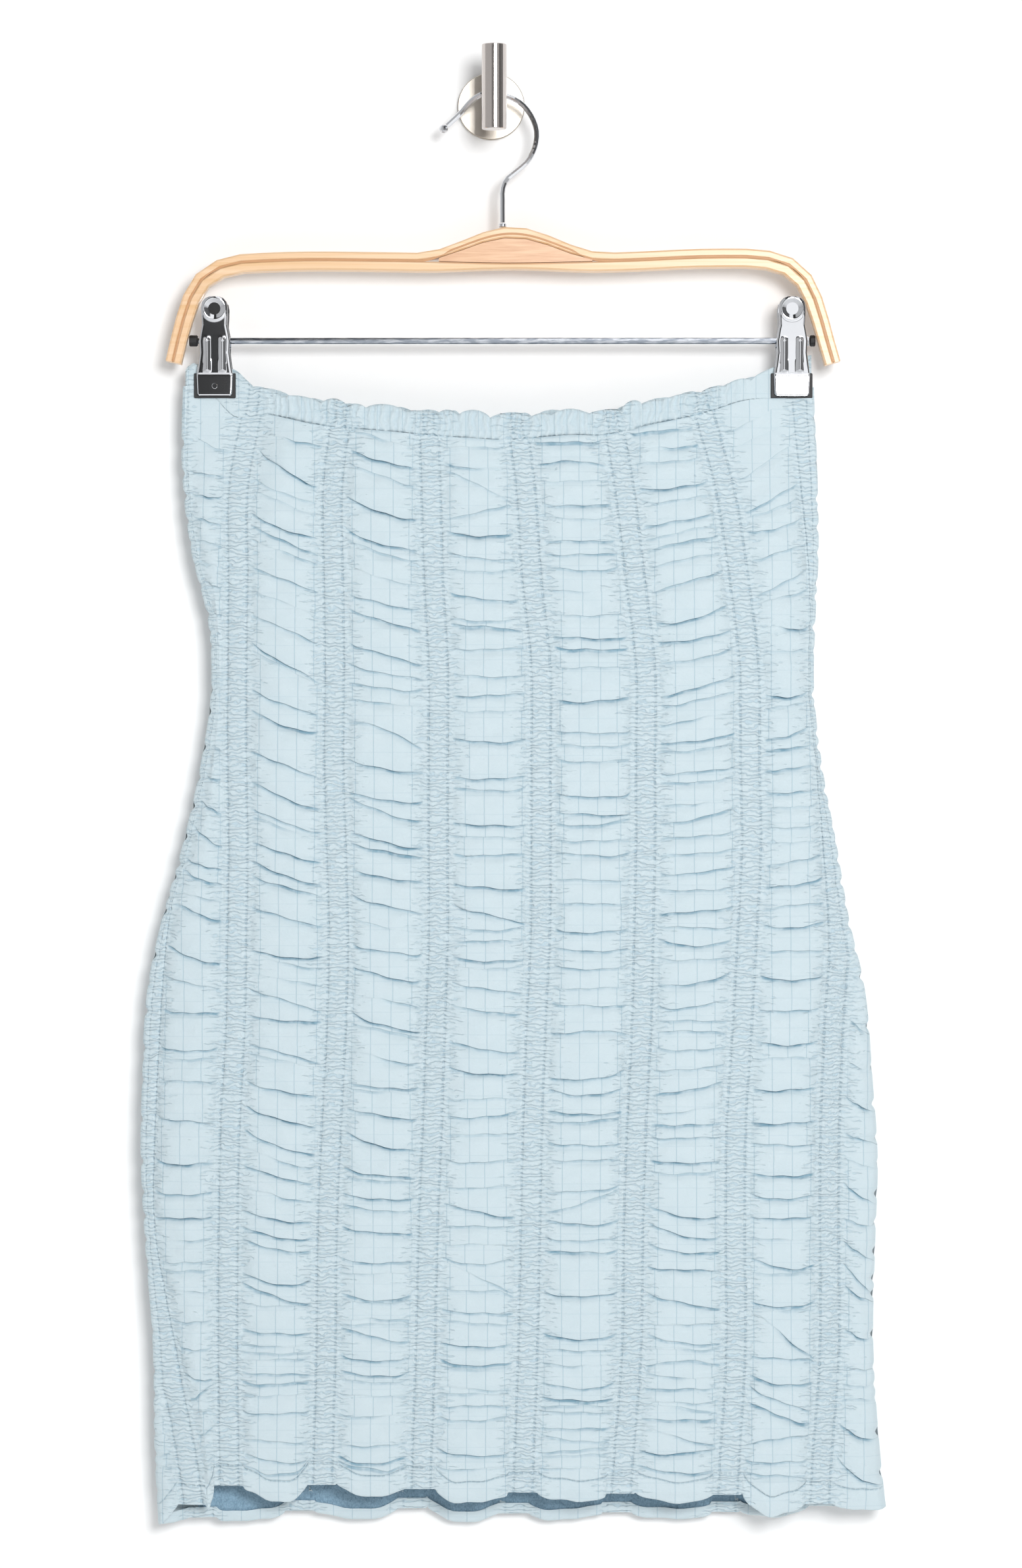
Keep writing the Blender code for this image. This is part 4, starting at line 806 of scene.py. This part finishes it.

# The painted shade of the tucks comes and goes along them
broken = add_node(tree, "TexNoise", [("Vector", (place, "UV")), ("Scale", 0.16), ("Detail", 2.0)])
broken = reckon(tree, "MULTIPLY_ADD", (broken, "Fac"), 3.0, -0.6)
broken = reckon(tree, "MINIMUM", reckon(tree, "MAXIMUM", broken, 0.35), 1.15)
uneven_painted_shade = reckon(tree, "MULTIPLY", painted_shade, broken)
mottle = add_node(tree, "TexNoise", [("Vector", (place, "UV")), ("Scale", 0.09), ("Detail", 3.0)])
colour = blend_colour(tree, (mottle, "Fac"), linear("#C2D3DA"), linear("#CAD8DE"))
# Marks on the colour: the windowpane, the elastic thread and the hem's stitches are the cloth's own; the
# darker valleys between the ridges and the dark of the tucks are painted shade
for mask, share, tint in (
    (pane, 0.55, "#98B5C4"), (valley_depth_and_shade, 0.3, "#8FB6CC"), (elastic, 0.32, "#7C9FB2"),
    (stitch, 0.22, "#86A9BA"), (uneven_painted_shade, 0.68, "#5C8CA3"),
):
    colour = blend_colour(tree, reckon(tree, "MULTIPLY", mask, share), colour, linear(tint))
tree.links.new(colour[0].outputs[colour[1]], shader.inputs["Base Color"])
inputs = [("Vector", (place, "UV")), ("Scale", 0.55), ("Detail", 4.0), ("Roughness", 0.6)]
crinkle = add_node(tree, "TexNoise", inputs)
height = reckon(tree, "MULTIPLY_ADD", (crinkle, "Fac"), 0.45, reckon(tree, "MULTIPLY", valley_depth_and_shade, -0.8))
height = reckon(tree, "MULTIPLY_ADD", elastic, -0.6, height)
height = reckon(tree, "MULTIPLY_ADD", stitch, -0.5, reckon(tree, "MULTIPLY_ADD", pane, -0.15, height))
add_bump(tree, shader, height, 0.0009, 0.7)
shader.inputs["Sheen Weight"].default_value = 0.15
shader.inputs["Sheen Roughness"].default_value = 0.5


def form_hem(columns, cloth, x_at, posts, hem_panels):
    """The hem from its stitching down to the scalloped edge and turned up inside, as form_cloth's values."""
    hem = {name: np.repeat(cloth[name][:, -1:], HEM_ROWS, axis=1) for name in cloth}
    turn = np.array(HEM_TURNED)
    down = np.linspace(0, 1, HEM_DROP_ROWS + 1)[1:]
    for i, (span, t) in enumerate(columns):
        in_strip = span % 2
        low = posts[span // 2 + 1] if in_strip else hem_height(span // 2, t, posts, hem_panels)
        first = cloth["z"][i, -1]
        bulge = 0.0 if in_strip else 0.9
        hem["z"][i] = np.concatenate((first + (low - first) * down, low + turn[:, 0]))
        hem["out"][i, :HEM_DROP_ROWS] = cloth["out"][i, -1] * (1 - down) + bulge * np.sin(np.pi * down)
        hem["out"][i, HEM_DROP_ROWS:] = 0.0
        hem["x"][i] = x_at(span, t, hem["z"][i])
    hem["painted_shade"][:] = 0.0
    return hem


def dress_side(label, side, strips, tucks, hem_strips, hem_panels, rows, seed, cuts):
    """The shirred body of the front or back, in pieces side by side that meet edge to edge.

    side is -1 for the front and 1 for the back. cuts are the spans at which one piece ends and the next
    starts. Returns the pieces, and the x and height of the hem's edge.
    """
    posts = (HEM_CORNERS[0],) + hem_strips + (HEM_CORNERS[1],)
    body_rows = rows - HEM_ROWS
    columns, cloth, x_at = form_cloth(strips, posts, hem_panels, tucks, body_rows, seed)
    count = len(columns)
    hem = form_hem(columns, cloth, x_at, posts, hem_panels)
    turned = len(HEM_TURNED)
    inset = np.zeros((count, rows))
    inset[:, -turned:] = column_of(HEM_TURNED, 1)
    x, z, out, shift, painted_shade, from_strip = (np.hstack((cloth[name], hem[name])) for name in cloth)
    from_seam = np.abs(z - z[:, body_rows - 1:body_rows])
    # How far the cloth stands out: relief on the strips, a groove at the hem's stitching, and unevenness
    held = pinch(x, z)
    for i, (span, t) in enumerate(columns):
        if span % 2:
            offset = (2 * t - 1) * STRIP_HALF_WIDTH
            out[i] = out[i] + strip_relief(offset, x[i], z[i], seed + span) * np.exp(-inset[i] * 3)
    out = out - 0.5 * np.exp(-(from_seam / 0.7) ** 2)
    out = out + 0.4 * soft_noise(x, z, 19, seed + 50) + 0.24 * soft_noise(x, z, 7, seed + 51)
    out = out * held
    # Near the side folds the cloth follows the fold's own ripples, and the painted shade fades out
    left, right = edges_at(z)
    for edge, ripple in ((left, side_ripple(tucks[0], z)), (right, side_ripple(tucks[-1], z))):
        near = 1 - ease(np.abs(x - edge) / 8.0)
        out = out * (1 - near) + (ripple - inset) * near
        painted_shade = painted_shade * (1 - near)
    # Each point stands out at right angles to the wall, and the first and last column meet the other side
    depth = half_depth(x, z) - inset
    slope = half_depth(x + 0.5, z) - half_depth(x - 0.5, z)
    length = np.hypot(slope, 1.0)
    px = x - out * slope / length
    py = HANG + side * np.maximum(depth + out / length, HALF_SEAM)
    for i, way in ((0, -1), (count - 1, 1)):
        px[i] = x[i] + way * out[i]
        py[i] = HANG + side * HALF_SEAM
    points = np.stack((px, py, z), axis=2)
    uvs = np.stack((x + shift + 3.0, -z + 4.0 * shift), axis=2)
    values = {"from_strip": from_strip, "painted_shade": painted_shade * held, "from_seam": from_seam}
    across = np.array([span + t for span, t in columns])
    spots = [0] + [int(np.argmin(np.abs(across - cut))) for cut in cuts] + [count - 1]
    pieces = []
    for n, (first, last) in enumerate(zip(spots, spots[1:])):
        part = slice(first, last + 1)
        order = slice(None) if side < 0 else slice(None, None, -1)
        own = {name: value[part][order] for name, value in values.items()}
        name = f"{label}_cloth_{n + 1}"
        pieces.append(lay_grid(name, points[part][order], cotton, uvs[part][order], own))
    return pieces, (x[:, -turned], z[:, -turned])


# The cut sizes in metres: each piece's width at its widest place, and the share of that rectangle
# that it fills, as it narrows at the waist. Along, 1.45 times what hangs goes into the gathers
FRONT_CUTS = ((0.118, 0.86), (0.178, 0.97), (0.146, 0.86))


def state_cuts(pieces, cuts):
    """Goes through each piece with its cut, and does nothing with them."""
    for piece, (width, share) in zip(pieces, cuts):
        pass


left_tucks = tuple(tuck for tuck in FRONT_TUCKS[1] if tuck[0] > SLIVER_ENDS[0]) + FRONT_TUCKS[0]
right_tucks = tuple(tuck for tuck in FRONT_TUCKS[7] if tuck[0] > SLIVER_ENDS[1]) + FRONT_TUCKS[8]
front_pieces, _ = dress_side(
    "front", -1, FRONT_STRIPS, (left_tucks,) + FRONT_TUCKS[1:8] + (right_tucks,), FRONT_HEM_STRIPS,
    FRONT_HEM_PANELS, FRONT_ROWS, seed=4, cuts=(5.5, 11.5),
)
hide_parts("dress_front")
state_cuts(front_pieces, FRONT_CUTS)


# Back of the dress: a second piece of the same cotton, gathered on seven pairs of stitch lines, which
# hangs a little lower. The photograph shows only its hem, so its puffs follow the front's manner.

BACK_STRIPS = (
    (-150.0, -150, -101.0, -47.0, 5.0, 57.0, 109.0, 160.0),
    (-229.0, -150, -101.0, -47.0, 6.0, 59.0, 111.0, 162.0),
    (-335.0, -140, -94.0, -42.0, 11.0, 63.0, 114.0, 161.0),
    (-443.0, -149, -97.0, -42.0, 13.0, 68.0, 122.0, 173.0),
    (-548.0, -163, -106.0, -47.0, 12.0, 71.0, 130.0, 187.0),
    (-660.0, -169, -110.0, -50.0, 12.0, 73.0, 134.0, 193.0),
    (-742.0, -169, -112.0, -49.0, 13.0, 74.0, 137.0, 195.0),
    (-850.0, -171, -114.0, -46.0, 14.0, 75.0, 140.0, 198.0),
)
BACK_HEM_STRIPS = (-838.6, -835.2, -833.9, -837.0, -836.4, -836.0, -832.0)
BACK_HEM_PANELS = (-841.0, -841.4, -840.2, -841.6, -841.0, -840.6, -838.5, -832.5)

# How the back's tucks lean in each panel, near the hem, at the hips and at the bust
LEAN_HEIGHTS = (-820, -500, -200)
BACK_LEANS = (
    (0.0, 0.15, 0.10), (0.02, 0.22, 0.30), (-0.04, 0.10, 0.20), (0.0, 0.0, 0.05), (0.0, -0.04, -0.05),
    (0.0, -0.10, -0.16), (0.0, -0.18, -0.32), (0.0, 0.20, -0.10),
)
BACK_ROWS = 560
BACK_CUTS = ((0.221, 0.93), (0.221, 0.93))


def uneven_tucks(leans, seed):
    """Tucks at uneven heights, with tall puffs of 19 to 27 mm among small ones of 6 to 15 mm."""
    draw = np.random.default_rng(seed)
    tucks, height = [], -196.0
    while height > -815:
        lean = np.interp(height, LEAN_HEIGHTS, leans) + draw.uniform(-0.06, 0.06)
        reach = int(draw.choice((FULL, FULL, FULL, LEFT, RIGHT, LOW, HIGH)))
        tucks.append((height, float(draw.choice((0.4, 0.6, 0.8, 0.9, 1.0))), lean, reach))
        height -= draw.uniform(19, 27) if draw.random() < 0.28 else draw.uniform(6, 15)
    return tuple(tucks)


# The sides' tucks are the front's, because a puff there runs round the fold
back_tucks = [uneven_tucks(leans, 90 + n) for n, leans in enumerate(BACK_LEANS)]
back_tucks[0], back_tucks[-1] = left_tucks, right_tucks
back_pieces, back_hem = dress_side(
    "back", 1, BACK_STRIPS, tuple(back_tucks), BACK_HEM_STRIPS, BACK_HEM_PANELS,
    BACK_ROWS, seed=9, cuts=(7.5,),
)
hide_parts("dress_back")
state_cuts(back_pieces, BACK_CUTS)


# Casing: the tops of front and back, turned down inside over a band of elastic and stitched, so that
# they stand in close upright gathers with a ruffled edge.

CASING_LEVEL = -170.0         # height at which the band's two ends are read
CASING_STEP = 0.75            # between columns
CASING_OVERLAP = 2.4          # how far it reaches down behind the body's top
CASING_UP_ROWS = 14
# The rows of its turn: share of its height, and how far inside the outer wall
CASING_TURNED = ((1.0, 0.7), (0.99, 1.4), (0.95, 1.8), (0.8, 2.0), (0.55, 2.0), (0.3, 2.0))
GATHER_PITCH = 4.6
RUFFLE_LENGTHS = (9, 24)
RUFFLE_HEIGHTS = (1.6, 4.6)
# The ruffled edge, which climbs beside the clips: x and height
CASING_TOP = (
    (-190.0, -176.0), (-183.0, -171.5), (-181.5, -163.7), (-178.0, -158.5), (-174.0, -155.2),
    (-170.0, -154.5), (-158.0, -156.5), (-151.0, -161.0), (-146.0, -166.0), (-137.0, -170.5),
    (-111.0, -176.5), (-93.0, -179.0), (-61.0, -182.0), (-14.0, -186.0), (4.0, -187.0),
    (45.0, -184.5), (68.0, -184.0), (91.0, -178.5), (126.0, -171.0), (150.0, -165.0), (163.0, -162.0),
    (170.0, -158.5), (180.0, -154.5), (187.0, -152.5), (191.0, -153.5), (194.0, -160.0), (197.0, -168.0),
)


def casing(label, side, strips, seed):
    """A band from the casing's stitching up to its ruffled edge and down inside."""
    left, right = edges_at(np.array([CASING_LEVEL]))
    x = np.linspace(left[0], right[0], int((right[0] - left[0]) / CASING_STEP))
    seam = through(column_of(TOP_EDGE, 0), column_of(TOP_EDGE, 1), x) - CASING
    draw = np.random.default_rng(seed)
    # Ruffles of uneven length along the edge
    bounds = np.cumsum(draw.uniform(*RUFFLE_LENGTHS, 40)) + left[0] - 30
    spot = np.searchsorted(bounds, x)
    part = (x - bounds[spot - 1]) / (bounds[spot] - bounds[spot - 1])
    ruffle = draw.uniform(*RUFFLE_HEIGHTS, 41)[spot] * np.abs(np.sin(np.pi * part)) ** 0.6
    top = through(column_of(CASING_TOP, 0), column_of(CASING_TOP, 1), x) + ruffle - 1.0
    rise = np.concatenate((np.linspace(0, 1, CASING_UP_ROWS), column_of(CASING_TURNED, 0)))
    inset = np.concatenate((np.zeros(CASING_UP_ROWS), column_of(CASING_TURNED, 1)))
    foot = (seam - CASING_OVERLAP)[:, None]
    z = foot + (top[:, None] - foot) * rise[None, :]
    x = np.repeat(x[:, None], len(rise), axis=1)
    # Upright gathers that wander, deepest near the edge
    wander = 2.2 * soft_noise(x, z, 16, seed) + 0.5 * soft_noise(x, z, 5, seed + 1)
    phase = 2 * math.pi * x / GATHER_PITCH + wander
    gather = np.sin(phase) - 0.35 * np.cos(2 * phase)
    up = rise[None, :]
    swell = 0.15 + 1.25 * ease(up / 0.3) - 0.5 * ease((up - 0.75) / 0.25)
    out = swell + 0.85 * gather * (0.45 + 0.55 * up) - 0.4 * np.exp(-((z - seam[:, None]) / 0.9) ** 2)
    held = pinch(x, z)
    out = out * held
    near = 1 - ease(np.minimum(x - left[0], right[0] - x) / 6.0)
    out = out * (1 - near) + 1.0 * near
    # Below the stitching the band lies behind the body
    out = out - 0.9 * ease((seam[:, None] + 0.2 - z) / 0.6)
    depth = np.maximum(half_depth(x, np.minimum(z, -150.0)) - np.minimum(inset, 1.2), HALF_SEAM + 0.1)
    slope = half_depth(x + 0.5, z) - half_depth(x - 0.5, z)
    length = np.hypot(slope, 1.0)
    px = x - out * slope / length
    py = HANG + side * np.maximum(depth + (out - np.maximum(inset - 1.2, 0)) / length, HALF_SEAM + 0.05)
    py[0], py[-1] = HANG + side * HALF_SEAM, HANG + side * HALF_SEAM
    from_strip = np.full_like(x, 60.0)
    for index in range(1, len(strips[0])):
        middle = through(column_of(strips, 0), column_of(strips, index), z)
        from_strip = np.minimum(from_strip, np.abs(x - middle))
    points = np.stack((px, py, z), axis=2)
    uvs = np.stack((1.5 * x, -z + 40.0), axis=2)
    from_seam = np.abs(z - seam[:, None])
    # Painted shade in the gathers' hollows and along the casing's stitching
    painted_seam_shade = 0.55 * np.exp(-(from_seam / 0.5) ** 2) * (0.5 - 0.5 * gather)
    painted_shade = held * (0.4 * np.clip(-gather - 0.3, 0, 1) + painted_seam_shade)
    values = {"from_strip": from_strip + 2.5, "painted_shade": painted_shade, "from_seam": from_seam}
    # The rows are turned to run down, and the back's columns to run right as it is seen from behind
    order = (slice(None, None, 1 if side < 0 else -1), slice(None, None, -1))
    values = {name: value[order] for name, value in values.items()}
    piece = lay_grid(f"{label}_casing", points[order], cotton, uvs[order], values)


casing("front", -1, FRONT_STRIPS, 21)
casing("back", 1, BACK_STRIPS, 22)


# Lining: a band of blue knit inside the back, its loops standing, held under the turned hem.

LINING_ENDS = (-174.0, 204.0)
LINING_FOOT = 3.0             # above the back's hem, behind its turned edge
LINING_TOP = -795.0
LINING_INSET = 1.0            # inside the back's outer wall

# Its blues are darkened past the knit's own colour to paint the shade that the front's hem casts, and the
# loop texture paints shade in the hollows between loops besides making their bump
knit, tree, shader = start_material("blue looped knit", "#9DBACB", 0.95)
place = add_node(tree, "TexCoord")
loops = add_node(tree, "Mapping", [("Vector", (place, "Object")), ("Scale", (1100, 1100, 800))])
loops = add_node(tree, "TexVoronoi", [("Vector", (loops, "Vector")), ("Scale", 1.0)])
pile = stretched_noise(tree, (500, 500, 500), detail=4)
shade = reckon(tree, "MULTIPLY", (loops, "Distance"), (pile, "Fac"))
colour = blend_colour(tree, shade, linear("#93B3C8"), linear("#4E7088"))
tree.links.new(colour[0].outputs[colour[1]], shader.inputs["Base Color"])
add_bump(tree, shader, shade, 0.0009, 0.9)
shader.inputs["Sheen Weight"].default_value = 0.4

x, up = np.meshgrid(np.linspace(*LINING_ENDS, 260), np.linspace(0, 1, 30), indexing="ij")
foot = np.interp(x, *back_hem) + LINING_FOOT
z = foot + (LINING_TOP - foot) * up
y = HANG + half_depth(x, z) - LINING_INSET + 0.15 * soft_noise(x, z, 12, 31)
points = np.stack((x, y, z), axis=2)
lining = lay_grid("lining_knit", points, knit, uvs=np.stack((x, z), axis=2))
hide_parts("lining_back")
[piece.name for piece in back_pieces]


# Stage: a white wall and a pale floor, soft studio light and the camera at the photograph's angle.

def stage_sheet(name, size, place, turn, colour):
    """A square sheet, size metres from its middle to each side."""
    solid = bmesh.new()
    bmesh.ops.create_grid(solid, x_segments=1, y_segments=1, size=size)
    mesh = bpy.data.meshes.new(name)
    solid.to_mesh(mesh)
    solid.free()
    sheet = bpy.data.objects.new(name, mesh)
    sheet.location, sheet.rotation_euler = place, turn
    bpy.context.scene.collection.objects.link(sheet)
    material, tree, shader = start_material(name, colour, 0.9)
    # Nothing behind the sheet is hidden or shaded by it
    facing = add_node(tree, "NewGeometry")
    ray = add_node(tree, "LightPath")
    inputs = [(0, (facing, "Backfacing")), (1, (ray, "Is Shadow Ray"))]
    through_it = add_node(tree, "Math", inputs, operation="MAXIMUM")
    clear = add_node(tree, "BsdfTransparent")
    mix = add_node(tree, "MixShader", [(0, (through_it, 0)), (1, (shader, "BSDF")), (2, (clear, "BSDF"))])
    tree.links.new(mix.outputs[0], tree.nodes["Material Output"].inputs["Surface"])
    mesh.materials.append(material)
    return sheet


stage_sheet("wall", 3.0, (0, 0.0005, -0.4), (math.radians(90), 0, 0), "#F8F8F8")
stage_sheet("floor", 4.0, (0, 0, -1.15), (0, 0, 0), "#EDEDED")

world = bpy.data.worlds.new("studio")
bpy.context.scene.world = world
world.use_nodes = True
tree = world.node_tree
place = add_node(tree, "TexCoord")
split = add_node(tree, "SeparateXYZ", [(0, (place, "Generated"))])
towards = add_node(tree, "Math", [(0, (split, "Y")), (1, -1.0)], operation="MULTIPLY")
angle = add_node(tree, "Math", [(0, (split, "X")), (1, (towards, 0))], operation="ARCTAN2")
turn = add_node(tree, "MapRange", [(0, (angle, 0)), (1, -math.pi), (2, math.pi), (3, 0.0), (4, 1.0)])
cards = add_node(tree, "ValToRGB", [("Fac", (turn, 0))])
# The studio round the hook: azimuth in degrees, from the camera towards +X, and brightness
STUDIO = (
    (-180, 0.62), (-24, 0.62), (-18, 0.04), (-2.6, 0.04), (-1, 1.3), (22, 1.3), (30, 0.12), (80, 0.2),
    (100, 0.7),
)
while len(cards.color_ramp.elements) < len(STUDIO):
    cards.color_ramp.elements.new(0.5)
for element, (azimuth, light) in zip(cards.color_ramp.elements, STUDIO):
    element.position = azimuth / 360 + 0.5
    element.color = (light, light, light, 1.0)
background = tree.nodes["Background"]
tree.links.new(cards.outputs["Color"], background.inputs["Color"])
background.inputs["Strength"].default_value = 0.92

key = bpy.data.lights.new("key", "AREA")
key.size = 0.8
key.energy = 58
key_object = bpy.data.objects.new("key", key)
toward = Vector((0.23, -1.0, 0.21)).normalized()
key_object.location = Vector((0, 0, -0.4)) + 3.2 * toward
key_object.rotation_mode = "QUATERNION"
key_object.rotation_quaternion = toward.to_track_quat("Z", "Y")
bpy.context.scene.collection.objects.link(key_object)

camera = bpy.data.cameras.new("camera")
camera.lens = 115.5
camera.sensor_width = 36.0
camera.clip_end = 20
camera_object = bpy.data.objects.new("camera", camera)
camera_object.location = (0.0118, -3.0, -0.4037)
camera_object.rotation_euler = (math.radians(90), 0, 0)
bpy.context.scene.collection.objects.link(camera_object)
bpy.context.scene.camera = camera_object
bpy.context.scene.view_settings.view_transform = "Standard"
